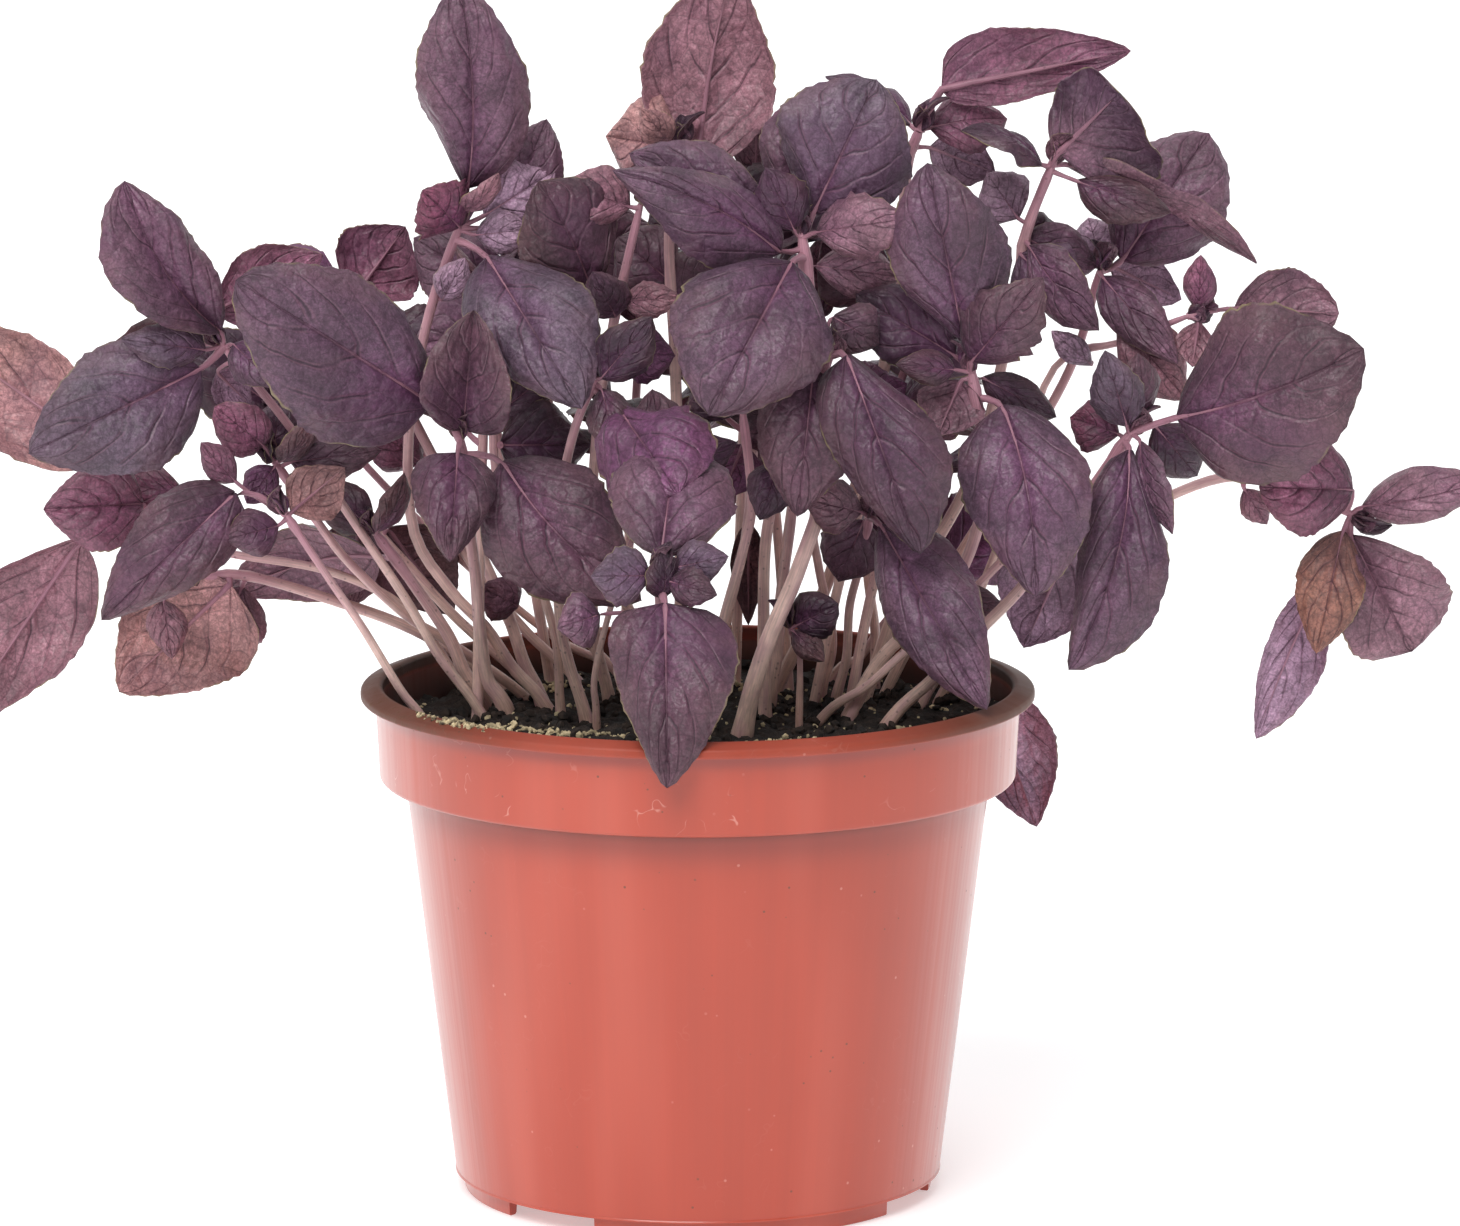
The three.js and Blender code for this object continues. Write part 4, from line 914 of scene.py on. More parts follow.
def turned(name, profile, sides):
    """A closed turned shape: a ring is extruded and resized up the profile, then its ends close"""
    deselect_all()
    radius, height = profile[0]
    bpy.ops.mesh.primitive_circle_add(vertices=sides, radius=radius, location=(0, 0, height))
    piece = bpy.context.object
    piece.name = name
    keep_place(piece)
    bpy.ops.object.mode_set(mode="EDIT")
    bpy.ops.mesh.select_all(action="SELECT")
    extrude_through(profile)
    bpy.ops.mesh.select_all(action="SELECT")
    bpy.ops.mesh.fill_holes(sides=0)
    bpy.ops.mesh.select_all(action="SELECT")
    bpy.ops.mesh.normals_make_consistent(inside=False)
    bpy.ops.object.mode_set(mode="OBJECT")
    return piece


def cut(piece, cutters):
    """Cuts a piece by others, which go"""
    cutter = join(cutters, "cutter")
    keep_place(cutter)
    modifier = piece.modifiers.new("cut", "BOOLEAN")
    modifier.operation = "DIFFERENCE"
    modifier.solver = "EXACT"
    modifier.object = cutter
    apply_modifiers(piece)
    bpy.data.objects.remove(cutter)


FOOT_GAPS = (-39, 66.5, 141, 246.5)  # middles of the gaps between the feet, degrees from the front
FOOT_GAP_ANGLE = 26
DRAIN_HOLES = 6
DRAIN_RADIUS = 3.6 * MM
DRAIN_CIRCLE = 22 * MM


def foot_gap_cutter(pot, angle):
    deselect_all()
    turn = math.radians(angle)
    width = 2 * pot.body_foot * math.sin(math.radians(FOOT_GAP_ANGLE / 2))
    depth = pot.foot_height - 0.05 * MM
    bpy.ops.mesh.primitive_cube_add(
        size=1,
        location=(
            pot.body_foot * math.sin(turn),
            -pot.body_foot * math.cos(turn),
            depth / 2 - 0.5 * MM,
        ),
        rotation=(0, 0, turn),
        scale=(width, 12 * MM, depth + 1 * MM),
    )
    return bpy.context.object


def drain_cutter(pot, number):
    deselect_all()
    turn = number * 2 * math.pi / DRAIN_HOLES
    bpy.ops.mesh.primitive_cylinder_add(
        vertices=32,
        radius=DRAIN_RADIUS,
        depth=4 * pot.wall,
        location=(
            DRAIN_CIRCLE * math.cos(turn),
            DRAIN_CIRCLE * math.sin(turn),
            pot.foot_height + pot.wall / 2,
        ),
    )
    return bpy.context.object


def plastic_material(pot):
    """Satin moulded plastic with faint flow lines, scuffs on the collar, dried soil on the lip, a painted
    reflection on its left and right sides, and painted shade under the lip and the collar, on the lip and
    inside the collar
    """
    graph = Graph("terracotta plastic", Specular_IOR_Level=0.5, Coat_Roughness=0.17)
    shoulder = pot.height - pot.collar_height
    lip_foot = pot.height - 2.9 * MM
    place = graph.place()
    x, y, z = graph.node("ShaderNodeSeparateXYZ", {0: place}).outputs
    angle = graph.math("ARCTAN2", x, graph.times(y, -1.0))
    flat = graph.stretch(place, 1, 1, 0)
    reach = graph.node("ShaderNodeVectorMath", {0: flat}, operation="LENGTH").outputs["Value"]
    drawn = graph.node("ShaderNodeCombineXYZ", {0: angle, 1: graph.times(z, 3.0)}).outputs[0]
    streaks = graph.noise(graph.stretch(drawn, 9, 2.5, 1), 2.0, 1)
    fine_streaks = graph.noise(graph.stretch(drawn, 60, 2, 1), 1.0, 1)
    bands = graph.noise(graph.stretch(drawn, 1.6, 1.4, 1), 2.0, 1)
    cloud = graph.noise(place, 26, 3)
    tone = graph.times(
        graph.between(streaks, 0.1, 0.9, 0.97, 1.03),
        graph.between(fine_streaks, 0.1, 0.9, 0.985, 1.015),
    )
    tone = graph.times(tone, graph.between(bands, 0.3, 0.7, 0.94, 1.06))
    tone = graph.times(tone, graph.between(cloud, 0.3, 0.7, 0.97, 1.03))
    color = graph.toned(pot.plastic, tone)
    color = graph.cover(color, pot.scuff, graph.between(bands, 0.45, 0.75), 0.07)
    # painted reflection: pale upright streaks, most of them on the two sides that face left and right in the
    # front view
    turned_away = graph.math("DIVIDE", graph.math("ABSOLUTE", x), graph.math("ADD", reach, 1 * MM))
    sides = graph.between(turned_away, 0.72, 0.97)
    painted_reflection = graph.times(graph.between(fine_streaks, 0.2, 0.8, 0.2, 1), sides)
    color = graph.cover(color, pot.side_reflection, painted_reflection, 0.14)
    # painted shade: darker and purplish right under the lip and right under the collar
    outside = graph.between(reach, pot.collar_radius - 0.7 * MM, pot.collar_radius - 0.2 * MM)
    under_lip = graph.between(z, lip_foot - 2.8 * MM, lip_foot - 0.2 * MM, 0, 0.45)
    under_lip = graph.times(under_lip, outside)
    under_lip = graph.times(under_lip, graph.between(z, lip_foot - 0.2 * MM, lip_foot + 0.1 * MM, 1, 0))
    under_collar = graph.times(
        graph.between(z, shoulder - 8.5 * MM, shoulder - 0.1 * MM, 0, 0.36),
        graph.between(reach, pot.body_top + 0.8 * MM, pot.body_top + 1.5 * MM, 1, 0),
    )
    color = graph.mix(graph.math("ADD", under_lip, under_collar), color, pot.shade)
    # thin curved scratches, most of them low on the collar, and pale chips
    swirl = graph.math("SUBTRACT", graph.noise(place, 260, 1), 0.5)
    lines = graph.between(graph.math("ABSOLUTE", swirl), 0, 0.016, 1, 0)
    patches = graph.times(
        graph.between(graph.noise(place, 210, 1), 0.55, 0.64),
        graph.between(graph.noise(place, 42, 1), 0.46, 0.56),
    )
    collar = graph.times(
        graph.between(z, shoulder, shoulder + 2 * MM),
        graph.between(z, shoulder + 3.5 * MM, shoulder + 12.5 * MM, 1, 0.25),
    )
    scuffs = graph.times(graph.times(lines, patches), graph.math("ADD", collar, 0.1))
    color = graph.cover(color, pot.scuff, scuffs, 0.5)
    chips = graph.between(graph.cells(place, 240, "F1"), 0.04, 0.08, 1, 0)
    chips = graph.times(chips, graph.between(graph.noise(place, 45, 1), 0.52, 0.6))
    color = graph.cover(color, pot.scuff, chips, 0.45)
    # dark specks
    specks = graph.between(graph.cells(place, 300, "F1"), 0.045, 0.085, 1, 0)
    specks = graph.times(specks, graph.between(graph.noise(place, 60, 1), 0.46, 0.54))
    color = graph.cover(color, pot.dirt_and_shade, specks, 0.8)
    # the lip is darker all round and darkest at its left and right ends in the front view, which is painted
    # shade; dried soil is thickest at the front left; the inside of the collar gets painted shade
    lip = graph.between(z, lip_foot, lip_foot + 1 * MM)
    # painted shade, strongest at the lip's left and right ends in the front view
    end_shade = graph.between(graph.math("ABSOLUTE", x), 20 * MM, 56 * MM, 0.3, 0.9)
    color = graph.mix(graph.times(lip, end_shade), color, [value * 0.6 for value in pot.dirt_and_shade])
    left = graph.between(x, -56 * MM, -30 * MM, 1, 0.1)
    crust = graph.between(graph.noise(place, 700, 3, 0.6), 0.52, 0.66)
    soiled = graph.times(graph.times(lip, left), crust)
    color = graph.cover(color, pot.dirt_and_shade, soiled, 0.7)
    # painted shade: the inside of the collar is painted nearly black
    within = graph.times(
        graph.between(reach, pot.collar_radius - 1.4 * MM, pot.collar_radius - 0.7 * MM, 1, 0),
        graph.between(z, shoulder - 2.5 * MM, shoulder + 1.5 * MM),
    )
    inner_shade = graph.times(within, graph.between(cloud, 0.2, 0.7, 0.88, 0.98))
    inner_shade = graph.times(inner_shade, graph.between(z, lip_foot - 0.2 * MM, lip_foot + 1.6 * MM, 1, 0.75))
    color = graph.mix(inner_shade, color, [value * 0.1 for value in pot.dirt_and_shade])
    dull = graph.math("MAXIMUM", soiled, graph.times(specks, 0.6))
    dull = graph.math("MAXIMUM", dull, graph.math("MAXIMUM", inner_shade, graph.times(lip, 0.7)))
    satin = graph.between(streaks, 0.1, 0.9, 0.27, 0.39)
    roughness = graph.math("ADD", satin, graph.times(dull, 0.45), clamp=True)
    height = graph.math("MULTIPLY_ADD", bands, 0.6, soiled)
    height = graph.math("SUBTRACT", height, graph.times(scuffs, 0.5))
    normal = graph.bump(height, 0.3, 0.1 * MM)
    coat = graph.math("MULTIPLY_ADD", lip, -0.55, 0.62)
    graph.tree.links.new(coat, graph.shader.inputs["Coat Weight"])
    return graph.finish(color, roughness, normal)


class BASIL_OT_pot(bpy.types.Operator):
    """Model the moulded pot with its rolled lip, collar, foot arcs and drain holes"""

    bl_idname = "basil.model_pot"
    bl_label = "Pot"

    def execute(self, context):
        pot = context.scene.basil_pot
        piece = turned("nursery_pot", pot_profile(pot), pot.sides)
        cutters = [foot_gap_cutter(pot, angle) for angle in FOOT_GAPS]
        cutters += [drain_cutter(pot, number) for number in range(DRAIN_HOLES)]
        cut(piece, cutters)
        smooth(piece, 32)
        piece.data.materials.append(plastic_material(pot))
        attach(piece, "root")
        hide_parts("pot")
        return {"FINISHED"}


# Soil, with places in metres

SOIL_RINGS = 34
SOIL_SIDE = ((0.0549, 0.0759), (0.0507, 0.0759), (0.0411, 0.0044))  # radius and height down its side
HIGHEST_SOIL = 0.0907
LEVEL_REACH = 0.0525  # beyond it, the highest place of the soil falls off
LOOSE_REACH = 0.0535  # loose crumbs and grains lie within it
GRIT_REACH = 0.053
LIP_GRAINS = 110
CRUST_START, CRUST_SPAN = -150, 24  # degrees, the front left of the lip
CRUST_REACH, CRUST_WIDTH = 0.0563, 0.0022
LIP_TOP, LIP_CREST = 0.0914, 0.0574  # the lip's height, and the radius from which it falls


def ground_at(x, y):
    """Height of the bumpy top of the soil, in millimetres"""
    rough = math.sin(0.19 * x + 1) * math.cos(0.23 * y) + 0.5 * math.sin(0.41 * (x + y))
    return SOIL_HEIGHT + SOIL_BUMP * rough


def crumbled(x, y):
    """Height of the crumbly surface in metres, at a place in metres"""
    spot = Vector((x, y, 0.0))
    bank = min(1, max(0, (-0.93 * y - 0.3 * x - 0.008) / 0.042))
    bank = 4.4 * bank * bank * (3 - 2 * bank)  # it is heaped against the rim at the front left
    heaps = noise.noise(spot * 85 + Vector((3.1, 0, 0))) * 1.3
    lumps = abs(noise.noise(spot * 230)) * 1.6 + noise.noise(spot * 480) * 0.7
    fine = noise.noise(spot * 1000) * 0.3
    return ground_at(x / MM, y / MM) * MM + (bank + heaps + lumps + fine - 0.6) * MM


def pot_top(reach):
    """The highest that soil may lie at a distance from the middle, to stay inside the lip"""
    return HIGHEST_SOIL - 0.5 * max(0, reach - LEVEL_REACH)


def soil_body(soil):
    """The soil, its top inset ring by ring and crumbled"""
    deselect_all()
    bpy.ops.mesh.primitive_circle_add(
        vertices=168, radius=soil.radius, location=(0, 0, soil.height), fill_type="NGON"
    )
    piece = bpy.context.object
    keep_place(piece)
    bpy.ops.object.mode_set(mode="EDIT")
    bpy.ops.mesh.select_all(action="SELECT")
    for _ in range(SOIL_RINGS):
        bpy.ops.mesh.inset(thickness=soil.radius / (SOIL_RINGS + 1), depth=0)
    bpy.ops.mesh.poke()
    bpy.ops.mesh.select_all(action="SELECT")
    bpy.ops.mesh.subdivide(number_cuts=1)
    select_where(piece, lambda edge: edge.is_boundary, "edges")
    extrude_through([(soil.radius, soil.height), *SOIL_SIDE])
    bpy.ops.mesh.edge_face_add()
    bpy.ops.mesh.select_all(action="SELECT")
    bpy.ops.mesh.normals_make_consistent(inside=False)
    bpy.ops.object.mode_set(mode="OBJECT")
    places = corners(piece.data)
    for place in places:
        if place[2] > soil.height - 0.1 * MM:
            reach = math.hypot(place[0], place[1])
            place[2] = min(crumbled(place[0], place[1]), pot_top(reach))
    piece.data.vertices.foreach_set("co", places.ravel())
    piece.data.update()
    return piece


def lump(draw):
    """An angular lump of about unit radius"""
    deselect_all()
    bpy.ops.mesh.primitive_ico_sphere_add(subdivisions=1, radius=1.0, location=(0, 0, 0))
    piece = bpy.context.object
    places = corners(piece.data)
    for place in places:
        place *= 0.7 + 0.55 * draw()
    places *= (1, 0.75 + 0.4 * draw(), 0.6 + 0.3 * draw())
    piece.data.vertices.foreach_set("co", places.ravel())
    return piece


def copied(pattern, location, size, turn):
    """A copy of a small piece with its own mesh, placed, resized and turned in its mesh"""
    mesh = pattern.data.copy()
    turning = Quaternion(turn[:3], turn[3])
    for vertex in mesh.vertices:
        vertex.co = turning @ (vertex.co * size) + Vector(location)
    piece = bpy.data.objects.new(pattern.name, mesh)
    bpy.context.scene.collection.objects.link(piece)
    return piece


def scattered(name, count, spots, sizes, seed):
    """Many lumps, copied from a few modelled ones, as one piece"""
    draw = drawer(seed)
    patterns = [lump(draw) for _ in range(5)]
    pieces = []
    for number in range(count):
        x, y, z = spots(draw)
        size = sizes[0] + (sizes[1] - sizes[0]) * draw() ** 2
        turn = (draw() - 0.5, draw() - 0.5, draw() - 0.5, 6.28 * draw())
        pieces.append(copied(patterns[number % 5], (x, y, z + 0.25 * size), size, turn))
    for pattern in patterns:
        bpy.data.objects.remove(pattern)
    return join(pieces, name)


def anywhere_on_soil(draw):
    reach = LOOSE_REACH * math.sqrt(draw())
    angle = 2 * math.pi * draw()
    x, y = reach * math.cos(angle), reach * math.sin(angle)
    return x, y, min(crumbled(x, y), pot_top(reach))


def at_a_foot(draw):
    """A place on the soil, every other time at the foot of a stem"""
    if draw() < 0.5:
        return anywhere_on_soil(draw)
    plan = FEET[int(draw() * len(FEET))]
    angle = 2 * math.pi * draw()
    away = plan["thick"][0] * 0.5 + 0.2 + draw()
    x = (plan["root"][0] + away * math.cos(angle)) * MM
    y = (plan["root"][1] + away * math.sin(angle)) * MM
    return x, y, crumbled(x, y) + 0.1 * MM


def in_patches(draw):
    """A place on the soil, most often in one of a few patches near the front"""
    if draw() < 0.2:
        return anywhere_on_soil(draw)
    middle_x, middle_y, spread = GRIT_PATCHES[int(draw() * len(GRIT_PATCHES))]
    away = spread * draw()
    angle = 2 * math.pi * draw()
    x = (middle_x + away * math.cos(angle)) * MM
    y = (middle_y + 0.6 * away * math.sin(angle)) * MM
    reach = math.hypot(x, y)
    if reach > GRIT_REACH:
        return anywhere_on_soil(draw)
    return x, y, min(crumbled(x, y), pot_top(reach)) + 0.12 * MM


def on_the_lip(draw):
    """A place on the front left of the lip"""
    angle = math.radians(CRUST_START + CRUST_SPAN * (draw() + draw()) / 2)
    reach = CRUST_REACH + CRUST_WIDTH * draw()
    height = LIP_TOP - 0.35 * max(0, reach - LIP_CREST)
    return reach * math.cos(angle), reach * math.sin(angle), height


def peat_material(soil):
    graph = Graph("potting soil", Specular_IOR_Level=0.35)
    place = graph.place()
    coarse = graph.noise(place, 260, 4, 0.6)
    fine = graph.noise(place, 1500, 4, 0.65)
    color = graph.mix(graph.between(coarse, 0.35, 0.68), soil.peat, soil.crumb)
    color = graph.toned(color, graph.between(fine, 0.3, 0.7, 0.55, 1.25))
    flecks = graph.between(graph.cells(place, 620, "F1"), 0.06, 0.12, 1, 0)
    flecks = graph.times(flecks, graph.between(graph.noise(place, 300, 1), 0.56, 0.6))
    color = graph.cover(color, soil.grit, flecks, 0.7)
    normal = graph.bump(graph.math("ADD", coarse, fine), 0.9, 0.8 * MM)
    return graph.finish(color, graph.between(coarse, 0.3, 0.7, 0.75, 0.98), normal)


def lump_material(name, main, other):
    """Rough lumps whose colour differs from one to the next"""
    graph = Graph(name, Specular_IOR_Level=0.3)
    place = graph.place()
    tones = graph.noise(place, 420, 3, 0.6)
    color = graph.mix(graph.between(tones, 0.38, 0.62), main, other)
    normal = graph.bump(graph.noise(place, 2600, 3), 0.6, 0.2 * MM)
    return graph.finish(color, graph.between(tones, 0.3, 0.7, 0.7, 0.95), normal)


class BASIL_OT_soil(bpy.types.Operator):
    """Model the potting soil with its crumbs and pale grit"""

    bl_idname = "basil.model_soil"
    bl_label = "Soil"

    def execute(self, context):
        soil = context.scene.basil_soil
        body = soil_body(soil)
        body.name = "potting_soil"
        smooth(body, 50)
        body.data.materials.append(peat_material(soil))
        crumbs = scattered("soil_crumbs", soil.crumbs, at_a_foot, (0.4 * MM, 1.6 * MM), seed=11)
        crumbs.data.materials.append(lump_material("dry crumbs", soil.peat, soil.crumb))
        grit = scattered("pale_grit", soil.grains, in_patches, (0.26 * MM, 0.85 * MM), seed=12)
        dried = [value * 0.45 for value in soil.grit]
        grit.data.materials.append(lump_material("pale grit", soil.grit, dried))
        lip_grit = scattered("lip_grit", LIP_GRAINS, on_the_lip, (0.2 * MM, 0.6 * MM), seed=13)
        lip_grit.data.materials.append(lump_material("dried soil", soil.grit, soil.crumb))
        for piece in (body, crumbs, grit, lip_grit):
            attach(piece, "root")
        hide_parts("soil")
        return {"FINISHED"}


# Patterns that the leafy stems are made from

COLUMNS = (0, 0.045, 0.13, 0.27, 0.43, 0.6, 0.76, 0.89, 0.965, 1)  # shares of half the width
ROWS = 30
FEW_COLUMNS = (0, 0.12, 0.45, 0.8, 1)  # for small blades
FEW_ROWS = 12
CELL = 0.01  # height of a cell in the unit-wide pattern
LARGE_BLADE = 24  # millimetres wide, from which a blade has its full thickness and pucker


def outline(share, rounded):
    """Half the blade's width along it, as a share of the widest place"""
    share = np.clip(share, 0, 1)
    if rounded:
        return np.maximum(np.sin(np.pi * share), 0) ** 0.6
    return np.maximum(np.sin(np.pi * share**0.8), 0) ** 0.95


def bulge(share, widest, full):
    """Half the width of a laid blade along it, widest at a chosen place"""
    power = math.log(0.5) / math.log(widest)
    return np.maximum(np.sin(np.pi * np.clip(share, 0, 1) ** power), 0) ** full


def vein_phase(across, along, pairs):
    """Counts the side veins: whole numbers lie on a vein, and halves between two veins"""
    bend = 0.4 * abs(across) + 0.16 * across * across
    return (along - bend) * pairs + 0.2


def model_blade(name, columns, rows, rounded, pairs):
    """A flat blade, a unit wide and a unit long, with slightly raised cells between its veins

    Its attribute "leaf" keeps each vertex's share across and along and the cells' height.
    """
    deselect_all()
    across = [-share for share in columns[:0:-1]] + list(columns)
    bpy.ops.mesh.primitive_grid_add(
        x_subdivisions=len(across) - 1, y_subdivisions=rows, size=1, location=(0, 0.5, 0)
    )
    blade = bpy.context.object
    blade.name = name
    keep_place(blade)
    start = corners(blade.data)
    column = np.rint((start[:, 0] + 0.5) * (len(across) - 1)).astype(int)
    share_across = np.array(across)[column]
    share_along = start[:, 1].copy()
    edit(blade)
    for number, share in enumerate(across):
        select_where(blade, lambda vertex: column[vertex.index] == number)
        bpy.ops.transform.translate(value=(share / 2 - (number / (len(across) - 1) - 0.5), 0, 0))
    for number in range(rows + 1):
        along = number / rows
        width = float(outline(along, rounded))
        select_where(blade, lambda vertex: abs(vertex.co.y - along) < 0.1 / rows)
        bpy.ops.transform.resize(value=(max(width, 0.001), 1, 1), center_override=(0, along, 0))
    phase = vein_phase(share_across, share_along, pairs)
    middle = 1 - 2 * abs(phase - np.floor(phase) - 0.5)
    inner = (abs(share_across) > 0.04) & (abs(share_across) < 0.95) & (share_along < 0.93)
    for height, least in ((0.45 * CELL, 0.25), (0.35 * CELL, 0.5), (0.2 * CELL, 0.75)):
        select_where(blade, lambda vertex: inner[vertex.index] and middle[vertex.index] > least)
        bpy.ops.transform.translate(value=(0, 0, height))
    teeth = np.rint(share_along * rows).astype(int)
    select_where(
        blade,
        lambda vertex: abs(share_across[vertex.index]) > 0.99
        and teeth[vertex.index] % 2 == 1
        and share_along[vertex.index] > 0.3,
    )
    bpy.ops.transform.resize(value=(1.018, 1, 1), center_override=(0, 0, 0))
    bpy.ops.transform.translate(value=(0, 0.16 / rows, 0))
    bpy.ops.object.mode_set(mode="OBJECT")
    leaf = np.column_stack((share_across, share_along, corners(blade.data)[:, 2]))
    write_attribute(blade.data, "leaf", "FLOAT_VECTOR", "vector", leaf)
    solidify = blade.modifiers.new("thickness", "SOLIDIFY")
    solidify.thickness = 0.2 * CELL
    solidify.offset = 0
    apply_modifiers(blade)
    smooth(blade)
    return blade


def model_tube(name, sides, rings):
    """A closed tube of unit radius and length, up from the origin"""
    step = 1 / rings
    piece = turned(name, [(1, step * ring) for ring in range(rings + 1)], sides)
    smooth(piece, 60)
    return piece


class Pattern:
    """A modelled pattern, read once: its mesh and where its vertices lie"""

    def __init__(self, piece):
        self.mesh = piece.data
        self.places = corners(piece.data)
        leaf = piece.data.attributes.get("leaf")
        if leaf:
            rows = np.empty(len(self.places) * 3)
            leaf.data.foreach_get("vector", rows)
            self.across, self.along, cells = rows.reshape(-1, 3).T
            self.side = np.sign(self.places[:, 2] - cells)
            self.cells = cells / CELL
        bpy.data.objects.remove(piece)

    def laid(self, name, places, place, tint, material):
        """A copy with its own mesh, at places in millimetres"""
        mesh = self.mesh.copy()
        mesh.vertices.foreach_set("co", (places * MM).ravel())
        if mesh.attributes.get("leaf"):
            mesh.attributes.remove(mesh.attributes["leaf"])
        write_attribute(mesh, "place", "FLOAT_VECTOR", "vector", place)
        solid = np.column_stack((tint, np.ones(len(tint))))
        write_attribute(mesh, "tint", "FLOAT_COLOR", "color", solid)
        mesh.materials.clear()
        mesh.materials.append(material)
        piece = bpy.data.objects.new(name, mesh)
        bpy.context.scene.collection.objects.link(piece)
        return piece


# Where stems and blades lie, by the rules of the part's source


def seen(x, z, depth):
    """The point at a depth that shows at X, Z of the front view"""
    reach = 1 - depth / VIEWPOINT.y
    return VIEWPOINT + (Vector((x, 0, z)) - VIEWPOINT) * reach


def curve_point(points, share):
    """A point of a smooth curve through points"""
    last = len(points) - 1
    place = last * share
    number = min(int(place), last - 1)
    rest = place - number
    before = points[number - 1] if number > 0 else 2 * points[0] - points[1]
    start, end = points[number], points[number + 1]
    after = points[number + 2] if number + 2 <= last else 2 * points[last] - points[last - 1]
    leave, arrive = (end - before) / 2, (after - start) / 2
    return (
        start
        + leave * rest
        + (-3 * start + 3 * end - 2 * leave - arrive) * rest**2
        + (2 * start - 2 * end + leave + arrive) * rest**3
    )


def stem_line(root, stem):
    """A stem's middle line, and the curve's points that it comes from"""
    ground = Vector((root[0], root[1], SOIL_HEIGHT))
    rise = stem[0] - ground
    rise = Vector((rise.x / 2, rise.y / 2, rise.z)).normalized()
    bottom = ground - rise * ROOT_DEPTH
    points = [bottom, ground + rise * COLLAR_RISE, *stem]
    marks = [curve_point(points, step / 200) for step in range(201)]
    whole = sum((end - start).length for start, end in zip(marks, marks[1:]))
    steps = max(3, math.floor(whole / STEM_STEP + 0.5))
    first = 1 / (len(stem) + 1)
    line = [bottom]
    for step in range(steps + 1):
        line.append(curve_point(points, first + (1 - first) * step / steps))
    return line, points


def stem_corners(line, thick):
    """The corners of a stem's rings in the part's solid"""
    last = len(line) - 1
    found = []
    for number, point in enumerate(line):
        along = (line[min(number + 1, last)] - line[max(number - 1, 0)]).normalized()
        across = Vector((1, 0, 0)).cross(along).normalized()
        other = along.cross(across)
        radius = (thick[0] + (thick[1] - thick[0]) * number / last) / 2
        for side in range(STEM_SIDES):
            angle = side * 2 * math.pi / STEM_SIDES
            found.append(point + radius * (across * math.cos(angle) + other * math.sin(angle)))
    return found


def nearest_on(line, point):
    """The place on a stem's line that is nearest to a point"""
    best = line[0]
    for start, end in zip(line[1:], line[2:]):
        span = end - start
        share = min(1, max(0, (point - start).dot(span) / span.dot(span)))
        place = start + span * share
        if (place - point).length < (best - point).length:
            best = place
    return best


def petiole_thickness(width):
    return min(1.6, max(0.9, 0.6 + 0.04 * width))


class Blade:
    """One blade: its midrib, its frame and its form"""

    def __init__(self, root, base, tip, width, facing, form):
        self.root, self.base, self.tip, self.width, self.form = root, base, tip, width, form
        self.facing = facing
        chord = tip - base
        self.length = chord.length
        along = chord.normalized()
        up = (facing - along * facing.dot(along)).normalized()
        if form.get("under"):
            up = -up
        self.up = Quaternion(along, math.radians(form.get("turn", 0))) @ up
        side = along.cross(self.up)
        self.middle = (base + tip) / 2 + self.up * (2 * form.get("arch", 0.12) * self.length)
        self.middle += side * (2 * form.get("sway", 0) * self.length)

    def eased(self):
        """The blade as it is laid, whose tip and arch may differ a little from the part's"""
        form = dict(self.form, arch=self.form.get("bend", self.form.get("arch", 0.12)))
        tip = self.base + (self.tip - self.base) * form.get("reach", 1)
        tip = VIEWPOINT + (tip - VIEWPOINT) * (1 - form.get("back", 0) / VIEWPOINT.y)
        base_x, base_z, tip_x, tip_z = form.get("moved", (0, 0, 0, 0))
        base = self.base + Vector((base_x, 0, base_z))
        blade = Blade(self.root, base, tip + Vector((tip_x, 0, tip_z)), self.width, self.facing, form)
        blade.color = self.color
        return blade

    def midrib(self, share):
        """Places, directions, across and over of the midrib at shares of its length"""
        share = np.atleast_1d(share)[:, None]
        base, middle, tip = (np.array(point) for point in (self.base, self.middle, self.tip))
        center = (1 - share) ** 2 * base + 2 * share * (1 - share) * middle + share**2 * tip
        along = (1 - share) * (middle - base) + share * (tip - middle)
        along /= np.linalg.norm(along, axis=1, keepdims=True)
        over = np.array(self.up) - along * (along @ np.array(self.up))[:, None]
        over /= np.linalg.norm(over, axis=1, keepdims=True)
        return center, along, np.cross(along, over), over

    def corners(self):
        """The corners of the blade in the part's solid"""
        stations = (0, 0.12, 0.35, 0.62, 0.86) if self.width > WIDE_BLADE else (0, 0.3, 0.68)
        stations = np.array(stations)
        center, _, across, over = self.midrib(stations)
        widths = outline(stations, self.form.get("round"))[:, None]
        half = self.width / 2 * widths + petiole_thickness(self.width) / 2
        wave = self.form.get("wave", 0.05) * self.width * np.sin(3 * np.pi * stations)[:, None]
        cup = self.form.get("cup", -0.12)
        found = [np.array(self.tip)[None], center + over * BLADE_THICKNESS / 2]
        for sign in (-1, 1):
            found.append(center + sign * half * across + (cup * half + sign * wave * widths) * over)
        return [Vector(point) for point in np.vstack(found)]


def hand_blade(line, row, push, turn):
    base_x, base_z, tip_x, tip_z, forward, width = row[:6]
    form = dict(row[7]) if len(row) > 7 else {}
    depth = nearest_on(line, seen(base_x, base_z, line[-1].y)).y
    base = seen(base_x, base_z, depth - 0.25 * (forward + push))
    tip = seen(tip_x, tip_z, depth - forward - push)
    form["turn"] = form.get("turn", 0) + turn
    facing = (VIEWPOINT - base).normalized()
    return Blade(nearest_on(line, base), base, tip, width, facing, form)


